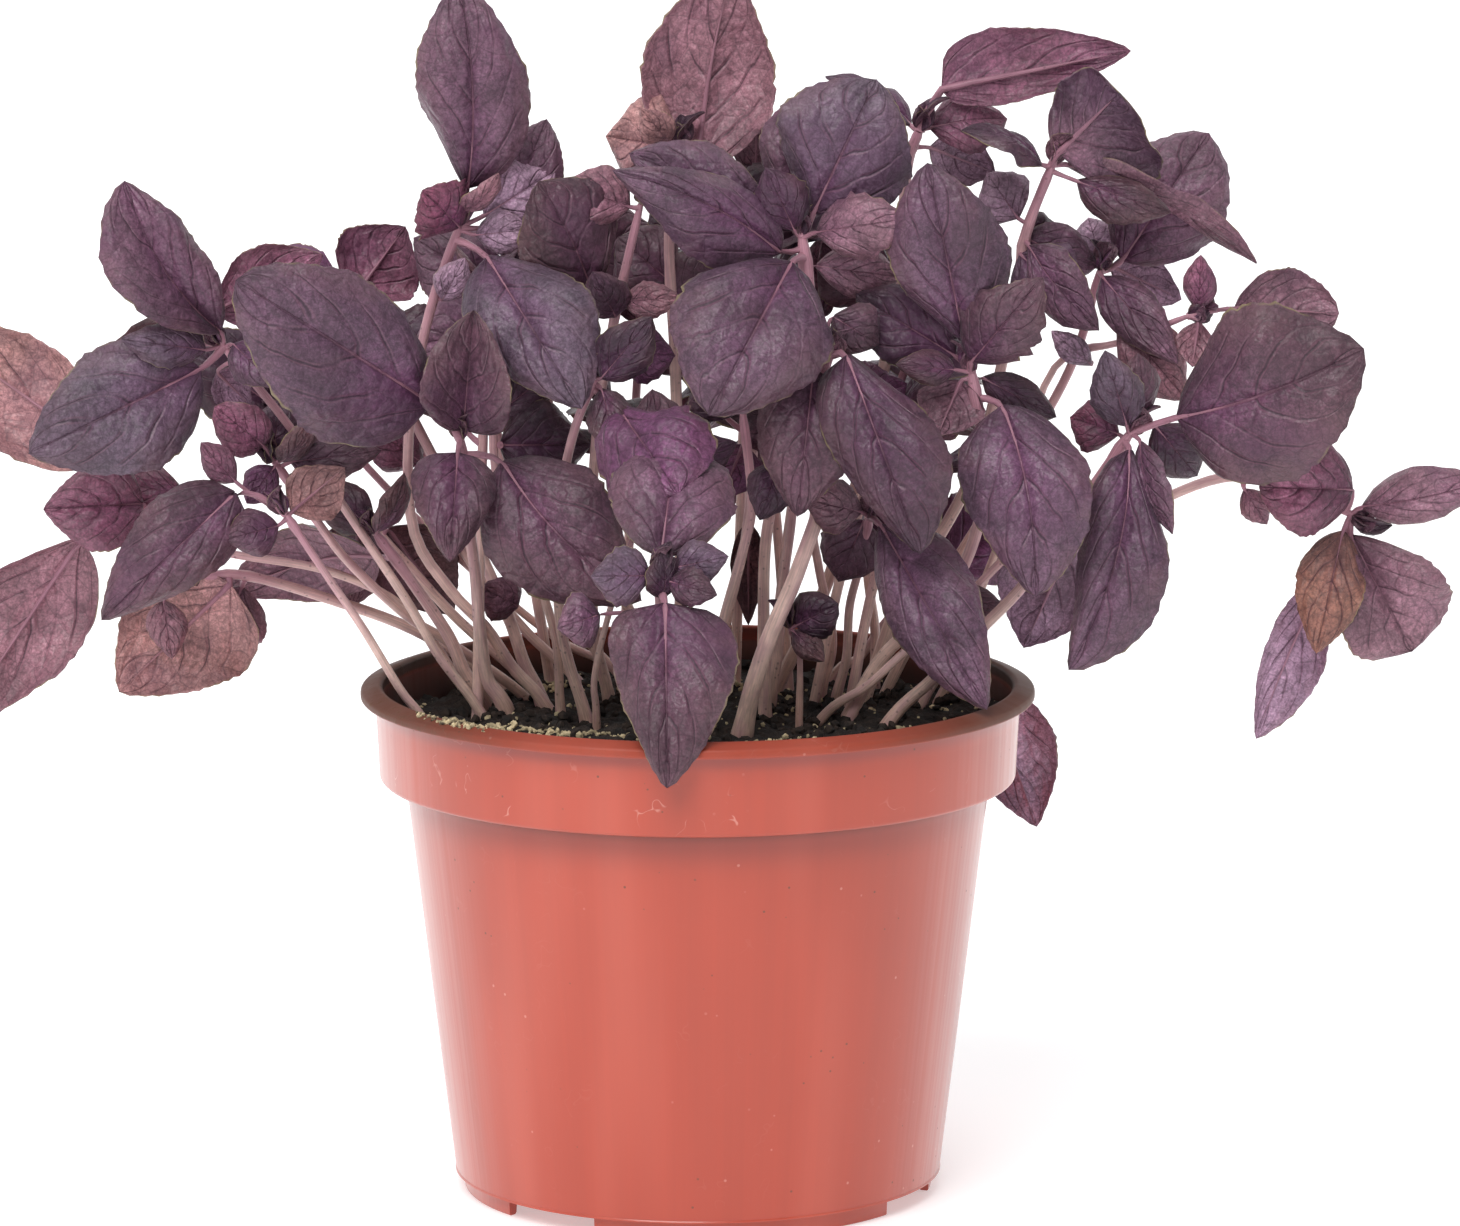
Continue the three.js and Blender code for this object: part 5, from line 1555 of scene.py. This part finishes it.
def back_blade(line, level, size, azimuth, swing, drop):
    share, reach, width, lift = level
    root = line[math.floor(share * (len(line) - 1) + 0.5)]
    lift = math.radians(lift - drop)
    angle = azimuth + math.radians(swing)
    away = Vector((math.cos(angle), math.sin(angle), 0))
    along = away * math.cos(lift) + Vector((0, 0, math.sin(lift)))
    base = root + along * (0.18 * reach * size)
    tip = root + along * (1.15 * reach * size) - Vector((0, 0, 0.15 * reach))
    return Blade(root, base, tip, width * size, Vector((0, 0, 1)) - away * 0.3, {})


def share_on(solid, points):
    """The share of the points that are corners of a solid of the part"""
    return sum(solid.find(point)[2] < FITS_WITHIN for point in points) / len(points)


def best_fit(solid, candidates, points_of):
    """The candidate with the most corners in the solid, and its share"""
    best, most = None, 0
    for candidate in candidates:
        share = share_on(solid, points_of(candidate))
        if share > most:
            best, most = candidate, share
        if most > 0.9:
            break
    return best, most


def fitted_line(name, solid, lines, thick):
    """The line, and its points, that a stem of the part follows"""
    found, share = best_fit(solid, lines, lambda item: stem_corners(item[0], thick))
    if share < STEM_FITS:
        raise RuntimeError(f"{name}: the part's stem lies on none of the expected lines")
    return found


def solid_of(node):
    """The corners of a solid of the part, in millimetres, for searching"""
    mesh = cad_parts[node].data
    tree = kdtree.KDTree(len(mesh.vertices))
    for number, vertex in enumerate(mesh.vertices):
        tree.insert(vertex.co / MM, number)
    tree.balance()
    return tree


def fit_hand_stem(name):
    """The line and the blades of a listed stem, as they stand in the part"""
    plan = HAND_PLACED[name]
    solid = solid_of("stem_" + name)
    lines = []
    for push in STEM_SHIFTS:
        points = [
            seen(x, z, depth + push * math.sin(math.pi * number / (len(plan["stem"]) + 1)))
            for number, (x, z, depth) in enumerate(plan["stem"], 1)
        ]
        lines.append(stem_line(plan["root"], points))
    line, points = fitted_line(name, solid, lines, plan["thick"])
    blades = []
    for row in plan["blades"]:
        tries = (hand_blade(line, row, push, turn) for turn in TURN_SHIFTS for push in TIP_SHIFTS)
        blade, share = best_fit(solid, tries, Blade.corners)
        if share < BLADE_FITS:
            raise RuntimeError(f"{name}: the part has no blade where {row[:4]} says")
        blade.color = row[6]
        blades.append(blade.eased())
    return points, plan["thick"], blades


def fit_back_stems():
    """The lines and blades of the stems at the back that the part has, by name"""
    draw = drawer(BACK_SEED)
    found = {}
    for number in range(BACK_STEMS):
        start, span = BACK_FAN
        azimuth = start + span * (number + 0.5) / BACK_STEMS + BACK_JITTER[0] * (draw() - 0.5)
        azimuth = math.radians(azimuth)
        reach = BACK_REACHES[number % len(BACK_REACHES)] + BACK_JITTER[1] * (draw() - 0.5)
        height = BACK_TOP - BACK_DROP * reach + BACK_JITTER[2] * (draw() - 0.5)
        outward = Vector((math.cos(azimuth), math.sin(azimuth), 0))
        root_reach = ROOT_RING[0] + (ROOT_RING[1] - ROOT_RING[0]) * draw()
        spin = 2 * math.pi * draw()
        sizes = [0.85 + 0.3 * draw() for _ in BACK_LEVELS]
        name = f"stem_back_{number + 1:02d}"
        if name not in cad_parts:
            continue
        solid = solid_of(name)
        sideways = Vector((-outward.y, outward.x, 0))
        lines = []
        for shift in ROOT_SHIFTS:
            foot = outward * root_reach + sideways * shift
            top = outward * reach + sideways * (shift / 2)
            stem = []
            for share in BACK_SHARES:
                place = foot.lerp(top, share**1.3)
                place.z = SOIL_HEIGHT + (height - SOIL_HEIGHT) * share
                stem.append(place)
            lines.append(stem_line(foot.xy, stem))
        line, points = fitted_line(name, solid, lines, BACK_THICK)
        blades = []
        for count, (level, size) in enumerate(zip(BACK_LEVELS, sizes)):
            for half in (0, math.pi):
                turned_by = spin + count * math.pi / 2 + half
                tries = (
                    back_blade(line, level, size, turned_by, swing, drop)
                    for swing in SWINGS
                    for drop in DROPS
                )
                blade, share = best_fit(solid, tries, Blade.corners)
                if blade and share > BACK_BLADE_FITS:
                    blade.color = BACK_COLORS[(number + len(blades)) % len(BACK_COLORS)]
                    blades.append(blade)
        found[name] = (points, BACK_THICK, blades)
    return found


# Laying the patterns along stems and blades

PALE = ("tan", "ochre", "amber", "lilac", "mauve", "rosy")  # colours with a fainter flush


def mixed(first, second, share):
    """Rows of colours between two colours"""
    share = np.asarray(share, dtype=float)[:, None]
    return np.asarray(first) * (1 - share) + np.asarray(second) * share


def bell(value, width):
    return np.exp(-((value / width) ** 2))


def blade_breadth(pattern, blade, share, widths, draw):
    """Sideways places on a blade, whose halves have their own forms and an uneven margin"""
    form, across = blade.form, pattern.across
    full = form.get("full", (0.6 if form.get("round") else 0.8) + 0.1 * draw())
    some = (0.92 + 0.1 * draw(), 0.38 + 0.14 * draw(), 0.92 + 0.1 * draw(), 0.38 + 0.14 * draw())
    left, left_widest, right, right_widest = form.get("halves", some)
    on_right = (across > 0) != bool(form.get("under"))
    breadth = np.where(
        on_right, right * bulge(share, right_widest, full), left * bulge(share, left_widest, full)
    )
    margin = form.get("teeth", 0.02) * (share * 6.5 % 1 - 0.5) * abs(across) ** 6 * (share > 0.2)
    for turns, strength in ((3.1, 0.016), (6.3, 0.012), (10.7, 0.007)):
        for sign in (-1, 1):
            wave = np.sin(2 * np.pi * (turns * share + draw()))
            margin = margin + strength * wave * np.clip(sign * across, 0, 1) ** 5
    lateral = pattern.places[:, 0] * blade.width * np.minimum(breadth / np.maximum(widths, 0.02), 2.4)
    return lateral * (1 + margin) + across * petiole_thickness(blade.width) / 2 * (1 - share**3)


def blade_relief(pattern, blade, share, widths, foliage, draw):
    """Heights on a blade: folds of its halves and margins, and the cells between its veins"""
    form, across = blade.form, pattern.across
    half = blade.width / 2 * widths + petiole_thickness(blade.width) / 2
    size = min(1.0, blade.width / LARGE_BLADE)
    bow = form.get("cup", -0.12) * half * abs(across) ** 1.3
    arched = 0.11 * half * abs(across) * (1 - abs(across)) * 4 * (0.6 + 0.8 * draw())
    ripple = form.get("wave", 0.05) * blade.width * np.sin(3 * np.pi * share) * widths * across
    folds = np.zeros(len(share))
    for turns, strength in ((1.3, 0.045), (2.4, 0.03), (4.3, 0.014)):
        for sign in (-1, 1):
            on_side = np.clip(sign * across, 0, 1)
            wave = np.sin(2 * np.pi * (turns * (share - 0.35 * on_side) + draw()))
            folds += strength * blade.width * wave * on_side**1.7 * widths * form.get("crumple", 1)
    roll = -(0.01 + 0.05 * draw()) * blade.width * np.clip((abs(across) - 0.6) / 0.4, 0, 1) ** 2
    crease = -0.5 * size * bell(across, 0.1) * (1 - share)
    cells = foliage.pucker / MM * size * pattern.cells * widths
    thickness = foliage.blade_thickness / MM * (0.35 + 0.65 * size)
    shell = pattern.side * thickness / 2 * (1 - 0.6 * across**4)
    return bow + arched + ripple + folds + roll * widths + crease + cells + shell


def blade_tint(pattern, blade, share, foliage, draw):
    """Colours on a blade: its own on the seen side, with a purple flush by base and midrib, a painted sheen
    that lightens the top toward the tip, and painted shade at the base
    """
    across, under = pattern.across, blade.form.get("under")
    seen_side = np.array(getattr(foliage, blade.color)) * (1.09 + 0.16 * draw())
    other = 0.75 * np.array(foliage.dusk if under else foliage.rosy) + 0.25 * seen_side
    top, bottom = (other, seen_side) if under else (seen_side, other)
    flush = 0.52 * bell(share, 0.45) * bell(across, 0.7) + 0.25 * bell(across, 0.2) * (1 - share)
    flush = flush * (0.4 if blade.color in PALE else 1)
    tops = mixed(top, foliage.flush, flush)
    # painted sheen: the top side is lighter toward the tip
    tops = tops * mixed((1, 1, 1), (1.14, 1.11, 1.08), np.clip(share * 1.6 - 0.7, 0, 1))
    # painted shade: the top side is darker at the base
    tops = tops * (1 - 0.35 * bell(share, 0.13))[:, None]
    bottoms = mixed(bottom, foliage.rib, flush * 0.8)
    return np.where(pattern.side[:, None] > 0, tops, bottoms)


def lay_blade(pattern, blade, foliage, draw, material):
    """A blade laid along its midrib"""
    share = np.clip(pattern.places[:, 1], 0, 1)
    center, _, sideways, over = blade.midrib(share)
    widths = outline(share, blade.form.get("round"))
    lateral = blade_breadth(pattern, blade, share, widths, draw)
    height = blade_relief(pattern, blade, share, widths, foliage, draw)
    tint = blade_tint(pattern, blade, share, foliage, draw)
    places = center + lateral[:, None] * sideways + height[:, None] * over
    place = np.column_stack((pattern.across, pattern.along, np.full(len(share), 10 * draw())))
    return pattern.laid("blade", places, place, tint, material)


def lay_tube(pattern, line_at, radius_at, tint_at, draw, material, squareness=0.0):
    """A tube along a line, given as places by share of its length"""
    share = pattern.places[:, 2]
    steps = np.linspace(0, 1, 65)
    marks = line_at(steps)
    ahead = np.gradient(marks, axis=0)
    ahead /= np.linalg.norm(ahead, axis=1, keepdims=True)
    reference = np.array((0.9, 0.35, 0.1))
    across = np.cross(reference, ahead)
    across /= np.linalg.norm(across, axis=1, keepdims=True)
    other = np.cross(ahead, across)

    def at(rows):
        return np.column_stack([np.interp(share, steps, rows[:, axis]) for axis in range(3)])

    angle = np.arctan2(pattern.places[:, 1], pattern.places[:, 0])
    radius = radius_at(share) * (1 + squareness * np.cos(4 * angle))
    ring = np.cos(angle)[:, None] * at(across) + np.sin(angle)[:, None] * at(other)
    places = at(marks) + radius[:, None] * ring
    whole = np.linalg.norm(np.diff(marks, axis=0), axis=1).sum()
    spot = np.full(len(share), 10 * draw())
    place = np.column_stack((angle / np.pi, share * whole / 10, spot))
    return pattern.laid("tube", places, place, tint_at(share), material)


def lay_petiole(pattern, blade, foliage, draw, material):
    """The petiole, which goes on as the raised midrib under the blade"""
    thick = petiole_thickness(blade.width)
    root, base = np.array(blade.root), np.array(blade.base)
    _, forward, _, _ = blade.midrib(0)
    stalk = np.linalg.norm(base - root)
    stout, bent = blade.form.get("stalk", (1, 0.35))
    bend = (1 - bent) * (root + base) / 2 + bent * (base - forward[0] * stalk * 0.8)
    free = stalk / (stalk + 0.9 * blade.length)

    def line_at(share):
        before = np.clip(share / free, 0, 1)[:, None]
        way = (1 - before) ** 2 * root + 2 * before * (1 - before) * bend + before**2 * base
        after = np.clip((share - free) / (1 - free), 0, 1) * 0.9
        center, _, _, above = blade.midrib(after)
        return np.where(share[:, None] < free, way, center - above * (0.46 * thick * after**0.3)[:, None])

    def radius_at(share):
        after = np.clip((share - free) / (1 - free), 0, 1)
        return thick / 2 * stout * (0.68 + 0.4 * bell(share, 0.08)) * (1 - after) ** 0.8 + 0.04

    def tint_at(share):
        seen_side = np.array(getattr(foliage, blade.color))
        rib = mixed(foliage.stem_top, foliage.rib, np.clip(share / free, 0, 1))
        return mixed((1, 1, 1), seen_side / rib[-1], np.clip(share - free, 0, 1) * 0.7) * rib

    return lay_tube(pattern, line_at, radius_at, tint_at, draw, material)


def lay_stem(pattern, points, thick, blades, foliage, draw, material):
    """The stem itself, a little swollen where leaves leave it"""
    ground = points[1] - (points[1] - points[0]).normalized() * COLLAR_RISE
    lean = ((points[2] - ground).normalized() + Vector((0, 0, 0.25))).normalized()
    below = Vector((lean.x * 5, lean.y * 5, 4.5))
    straight = [ground - below, ground + lean * 3, *points[2:]]
    marks = np.array([curve_point(straight, step / 80) for step in range(81)])
    steps = np.linspace(0, 1, 81)
    joints = [
        steps[np.argmin(np.linalg.norm(marks - np.array(blade.root), axis=1))] for blade in blades
    ]
    whole = np.linalg.norm(np.diff(marks, axis=0), axis=1).sum()

    def line_at(share):
        return np.column_stack([np.interp(share, steps, marks[:, axis]) for axis in range(3)])

    def radius_at(share):
        radius = (thick[0] + (thick[1] - thick[0]) * share) * 0.43
        swell = sum(0.14 * bell((share - joint) * whole, 1.6) for joint in joints)
        foot = 0.22 * bell(share * whole - 5, 6)
        return radius * (1 + np.minimum(swell, 0.32) + foot) * np.where(share > 0.995, 0.6, 1)

    def tint_at(share):
        low = mixed(foliage.stem_foot, foliage.stem_middle, np.clip(share * 2.2, 0, 1))
        foot = (0.75 * bell(share * whole - 4, 9))[:, None]
        low = low * (1 - foot) + np.array(foliage.stem_foot) * (0.5, 0.36, 0.36) * foot
        high = np.clip((share - 0.5) / 0.45, 0, 1)[:, None]
        return low * (1 - high) + np.array(foliage.stem_top) * high

    return lay_tube(pattern, line_at, radius_at, tint_at, draw, material, 0.05)


def lay_bud(pattern, points, foliage, draw, material):
    """Small folded leaves at the top of a stem"""
    top = curve_point(points, 1)
    rise = (top - curve_point(points, 0.985)).normalized()
    spin = 6.28 * draw()
    leaves = []
    for number in range(5):
        angle = spin + number * 1.9
        out = Vector((math.cos(angle), math.sin(angle), 0.2))
        long = 5.8 - 0.6 * number + draw()
        base = top + rise * 0.3
        tip = base + (rise * 0.85 + out * (0.55 - 0.1 * number)) * long
        blade = Blade(top, base, tip, long * 0.6, rise - out * 0.8, {"cup": 0.5})
        blade.color = ("ink", "grape", "violet")[number % 3]
        leaves.append(lay_blade(pattern, blade, foliage, draw, material))
    return leaves


def leaf_material(foliage):
    """Blades with side veins, a thin midrib, mottling, fine grain and a thin pale margin, with painted shade
    in the vein grooves and a painted highlight next to the veins
    """
    graph = Graph(
        "basil leaf",
        Specular_IOR_Level=0.42,
        Sheen_Weight=0.06,
        Sheen_Roughness=0.4,
        Sheen_Tint=(0.86, 0.8, 0.92, 1),
    )
    place = graph.place()
    leaf = graph.attribute("place", "Vector")
    tint = graph.attribute("tint", "Color")
    across, along, _ = graph.node("ShaderNodeSeparateXYZ", {0: leaf}).outputs
    away = graph.math("ABSOLUTE", across)
    # side veins that curve to the tip, fainter here and there: their dark is partly their own colour and
    # partly painted shade in their grooves, and a painted highlight lies next to each
    wobble = graph.math("SUBTRACT", graph.noise(leaf, 1.9, 2), 0.5)
    bend = graph.math("MULTIPLY_ADD", graph.times(away, away), 0.16, graph.times(away, 0.4))
    phase = graph.math("SUBTRACT", graph.math("MULTIPLY_ADD", wobble, 0.2, along), bend)
    phase = graph.math("MULTIPLY_ADD", phase, foliage.veins, 0.2)
    near = graph.math("PINGPONG", phase, 0.5)
    inside = graph.times(
        graph.between(away, 0.7, 0.95, 1, 0),
        graph.between(graph.noise(leaf, 3.4, 1), 0.35, 0.6, 0.25, 1),
    )
    veins = graph.times(graph.between(near, 0.01, 0.05, 1, 0), inside)
    # painted highlight: a pale rib-coloured line next to each vein, for its lit raised side
    vein_highlight = graph.between(graph.math("ABSOLUTE", graph.math("SUBTRACT", near, 0.075)), 0, 0.05, 1, 0)
    vein_highlight = graph.times(vein_highlight, inside)
    midrib = graph.between(away, 0.006, 0.03, 1, 0)
    pink = graph.times(midrib, graph.between(along, 0.15, 0.75, 0.7, 0.1))
    dark = graph.times(midrib, graph.between(along, 0.15, 0.7, 0, 0.35))
    # a fine net, and a wider net of small veins, bent by a slow noise
    net = graph.cells(place, 820, "DISTANCE_TO_EDGE")
    slow = graph.node("ShaderNodeTexNoise", {"Vector": place, "Scale": 90.0, "Detail": 1.0})
    bent = graph.stretch(slow.outputs["Color"], 0.006, 0.006, 0.006)
    bent = graph.node("ShaderNodeVectorMath", {0: place, 1: bent}, operation="ADD").outputs[0]
    small = graph.cells(bent, 250, "DISTANCE_TO_EDGE")
    pores = graph.noise(place, 950, 3, 0.6)
    grain = graph.noise(place, 2600, 2, 0.6)
    patches = graph.noise(place, 110, 4, 0.6)
    broad = graph.noise(place, 48, 2)
    tone = graph.times(
        graph.between(patches, 0.3, 0.7, 0.68, 1.3),
        graph.between(grain, 0.32, 0.68, 0.8, 1.22),
    )
    tone = graph.times(tone, graph.between(pores, 0.3, 0.7, 0.76, 1.26))
    color = graph.toned(tint, tone)
    color = graph.cover(color, foliage.olive, graph.between(broad, 0.5, 0.68), 0.38)
    color = graph.cover(color, foliage.flush, graph.between(broad, 0.32, 0.5, 1, 0), 0.34)
    outer = graph.times(graph.between(away, 0.35, 0.95), graph.between(patches, 0.4, 0.6))
    color = graph.cover(color, foliage.brown, outer, 0.4)
    lace = graph.times(graph.between(net, 0, 0.13, 1, 0), 0.2)
    lace = graph.math("MAXIMUM", lace, graph.times(graph.between(small, 0, 0.05, 1, 0), 0.38))
    color = graph.mix(lace, color, foliage.deep)
    # the veins' dark, partly painted shade, and the painted highlight next to them
    color = graph.cover(color, foliage.deep, veins, 0.72)
    color = graph.cover(color, foliage.rib, vein_highlight, 0.22)
    color = graph.mix(pink, color, foliage.rib)
    color = graph.mix(dark, color, foliage.deep)
    broken = graph.between(graph.noise(place, 120, 2), 0.45, 0.62)
    edge = graph.times(graph.between(away, 0.972, 0.992), broken)
    color = graph.cover(color, foliage.margin, edge, 0.6)
    # pillows between the veins, the nets and the grain
    relief = graph.times(graph.between(near, 0.0, 0.13), inside)
    height = graph.math("MULTIPLY_ADD", net, 0.5, relief)
    height = graph.math("MULTIPLY_ADD", graph.between(small, 0, 0.3), 0.55, height)
    height = graph.math("SUBTRACT", height, graph.times(midrib, 0.8))
    height = graph.math("MULTIPLY_ADD", patches, 0.8, height)
    normal = graph.bump(height, 0.75, 0.42 * MM)
    normal = graph.bump(graph.math("ADD", pores, grain), 0.5, 0.12 * MM, normal)
    roughness = graph.math(
        "ADD",
        graph.between(patches, 0.3, 0.7, 0.52, 0.38),
        graph.between(grain, 0.3, 0.7, 0.04, -0.04),
    )
    return graph.finish(color, roughness, normal)


def stem_material(foliage):
    """Stems and petioles with fine streaks along them and darker specks"""
    graph = Graph("basil stem", Specular_IOR_Level=0.45, Sheen_Weight=0.1)
    place = graph.place()
    tube = graph.attribute("place", "Vector")
    tint = graph.attribute("tint", "Color")
    streaks = graph.noise(graph.stretch(tube, 6, 0.7, 1), 2.6, 3)
    mottle = graph.noise(place, 260, 3, 0.6)
    tone = graph.times(
        graph.between(streaks, 0.3, 0.7, 0.8, 1.12),
        graph.between(mottle, 0.3, 0.7, 0.88, 1.1),
    )
    color = graph.toned(tint, tone)
    blush = graph.between(graph.noise(graph.stretch(tube, 1.5, 0.6, 1), 1.5, 2), 0.42, 0.68)
    color = graph.cover(color, foliage.stem_top, blush, 0.45)
    specks = graph.between(graph.cells(place, 800, "F1"), 0.12, 0.24, 1, 0)
    specks = graph.times(specks, graph.between(graph.noise(place, 150, 1), 0.45, 0.6))
    color = graph.cover(color, foliage.deep, specks, 0.45)
    normal = graph.bump(graph.math("MULTIPLY_ADD", mottle, 0.6, streaks), 0.3, 0.15 * MM)
    return graph.finish(color, graph.between(streaks, 0.3, 0.7, 0.34, 0.5), normal)


class BASIL_OT_stems(bpy.types.Operator):
    """Model the blade and tube patterns once and lay them along every leafy stem"""

    bl_idname = "basil.model_stems"
    bl_label = "Leafy stems"

    def execute(self, context):
        foliage = context.scene.basil_foliage
        pairs = foliage.veins
        patterns = {
            "pointed": Pattern(model_blade("pointed blade", COLUMNS, ROWS, False, pairs)),
            "round": Pattern(model_blade("round blade", COLUMNS, ROWS, True, pairs)),
            "small": Pattern(model_blade("small blade", FEW_COLUMNS, FEW_ROWS, False, pairs)),
            "small round": Pattern(model_blade("small round", FEW_COLUMNS, FEW_ROWS, True, pairs)),
            "stem": Pattern(model_tube("stem tube", 12, 34)),
            "petiole": Pattern(model_tube("petiole tube", 8, 14)),
        }
        leaf, bark = leaf_material(foliage), stem_material(foliage)
        plans = {"stem_" + name: fit_hand_stem(name) for name in HAND_PLACED}
        plans.update(fit_back_stems())
        missing = [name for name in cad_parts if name.startswith("stem_") and name not in plans]
        if missing:
            raise RuntimeError(f"no plan for the part's {missing}")
        for number, (name, (points, thick, blades)) in enumerate(plans.items()):
            draw = drawer(1000 + number)
            pieces = [lay_stem(patterns["stem"], points, thick, blades, foliage, draw, bark)]
            for blade in blades:
                kind = "round" if blade.form.get("round") else "pointed"
                if blade.width < WIDE_BLADE:
                    kind = "small round" if kind == "round" else "small"
                pieces.append(lay_blade(patterns[kind], blade, foliage, draw, leaf))
                pieces.append(lay_petiole(patterns["petiole"], blade, foliage, draw, bark))
            pieces += lay_bud(patterns["small"], points, foliage, draw, leaf)
            piece = join(pieces, name.replace("stem_", "leafy_stem_"))
            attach(piece, "root")
            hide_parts(name)
        return {"FINISHED"}


# Stage

STUDIO_LEAN = (-0.12, 0.86, 0.42)  # the studio is brightest this way
KEY_DIRECTION = Vector((0.26, 0.78, -0.95))
KEY_SPREAD = 38  # degrees, which gives soft shadows
CAMERA_PLACE = (0.005741, -1.4744, 0.36743)  # in metres
CAMERA_DIP = 10.138  # degrees below level
CAMERA_LENS = 207.77
SENSOR_WIDTH = 36


def floor_material(stage):
    """A floor that gives light, more of it on the left, for the pot's pale left edge"""
    glow = (*stage.floor, 1)
    graph = Graph("pale floor", Roughness=0.6, Specular_IOR_Level=0.2, Emission_Color=glow)
    side = graph.node("ShaderNodeSeparateXYZ", {0: graph.place()}).outputs[0]
    strength = graph.between(side, -0.3, 0.04, 1.3 * stage.glow, stage.glow)
    graph.tree.links.new(strength, graph.shader.inputs["Emission Strength"])
    faint = graph.between(graph.noise(graph.place(), 3, 2), 0.2, 0.8, 0.99, 1.0)
    return graph.finish(graph.toned(stage.floor, faint))


def white_studio(stage):
    """A white studio that is brighter behind the plant and above it than at the camera's side"""
    world = bpy.data.worlds.new("white studio")
    world.use_nodes = True
    tree = world.node_tree
    background = tree.nodes["Background"]
    direction = tree.nodes.new("ShaderNodeTexCoord")
    lean = tree.nodes.new("ShaderNodeVectorMath")
    lean.operation = "DOT_PRODUCT"
    lean.inputs[1].default_value = STUDIO_LEAN
    spread = tree.nodes.new("ShaderNodeMapRange")
    spread.interpolation_type = "SMOOTHSTEP"
    for socket, value in (
        ("From Min", -0.15),
        ("From Max", 0.55),
        ("To Min", stage.front),
        ("To Max", stage.backdrop),
    ):
        spread.inputs[socket].default_value = value
    tree.links.new(direction.outputs["Generated"], lean.inputs[0])
    tree.links.new(lean.outputs["Value"], spread.inputs["Value"])
    tree.links.new(spread.outputs["Result"], background.inputs["Strength"])
    background.inputs["Color"].default_value = (1, 1, 1, 1)
    return world


def key_light(stage):
    """A soft light from above the camera"""
    light = bpy.data.lights.new("key", "SUN")
    light.energy = stage.key
    light.angle = math.radians(KEY_SPREAD)
    light.color = (1, 0.99, 0.975)
    lamp = bpy.data.objects.new("key", light)
    lamp.rotation_euler = KEY_DIRECTION.to_track_quat("-Z", "Y").to_euler()
    return lamp


def front_camera():
    view = bpy.data.cameras.new("front view")
    view.sensor_width = SENSOR_WIDTH
    view.lens = CAMERA_LENS
    camera = bpy.data.objects.new("front view", view)
    camera.location = CAMERA_PLACE
    camera.rotation_euler = (math.radians(90 - CAMERA_DIP), 0, 0)
    return camera


class BASIL_OT_stage(bpy.types.Operator):
    """Set up the floor, the soft studio light and the camera of the front view"""

    bl_idname = "basil.set_stage"
    bl_label = "Stage"

    def execute(self, context):
        stage = context.scene.basil_stage
        deselect_all()
        bpy.ops.mesh.primitive_circle_add(
            vertices=96, radius=stage.floor_radius, fill_type="NGON", location=(0, 0, 0)
        )
        floor = context.object
        floor.name = "floor"
        keep_place(floor)
        floor.data.materials.append(floor_material(stage))
        context.scene.world = white_studio(stage)
        context.scene.collection.objects.link(key_light(stage))
        camera = front_camera()
        context.scene.collection.objects.link(camera)
        context.scene.camera = camera
        context.scene.view_settings.view_transform = "Standard"
        return {"FINISHED"}


class BASIL_PT_panel(bpy.types.Panel):
    """Lists the steps and the sizes and colours that they use"""

    bl_idname = "BASIL_PT_panel"
    bl_label = "Potted purple basil"
    bl_space_type = "VIEW_3D"
    bl_region_type = "UI"
    bl_category = "Basil"

    def draw(self, context):
        for operator, (name, group) in zip(STEPS, SETTINGS):
            box = self.layout.box()
            box.operator(operator.bl_idname, text=operator.bl_label)
            settings = getattr(context.scene, name)
            for key in group.__annotations__:
                box.prop(settings, key)


STEPS = (BASIL_OT_pot, BASIL_OT_soil, BASIL_OT_stems, BASIL_OT_stage)
CLASSES = (*[group for _, group in SETTINGS], *STEPS, BASIL_PT_panel)


def register():
    for each in CLASSES:
        bpy.utils.register_class(each)
    for name, group in SETTINGS:
        setattr(bpy.types.Scene, name, bpy.props.PointerProperty(type=group))


def unregister():
    for name, _ in SETTINGS:
        delattr(bpy.types.Scene, name)
    for each in reversed(CLASSES):
        bpy.utils.unregister_class(each)


def main():
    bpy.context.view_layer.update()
    register()
    deselect_all()
    bpy.ops.basil.model_pot()
    bpy.ops.basil.model_soil()
    bpy.ops.basil.model_stems()
    bpy.ops.basil.set_stage()
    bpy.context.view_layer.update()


if __name__ == "__main__":
    main()
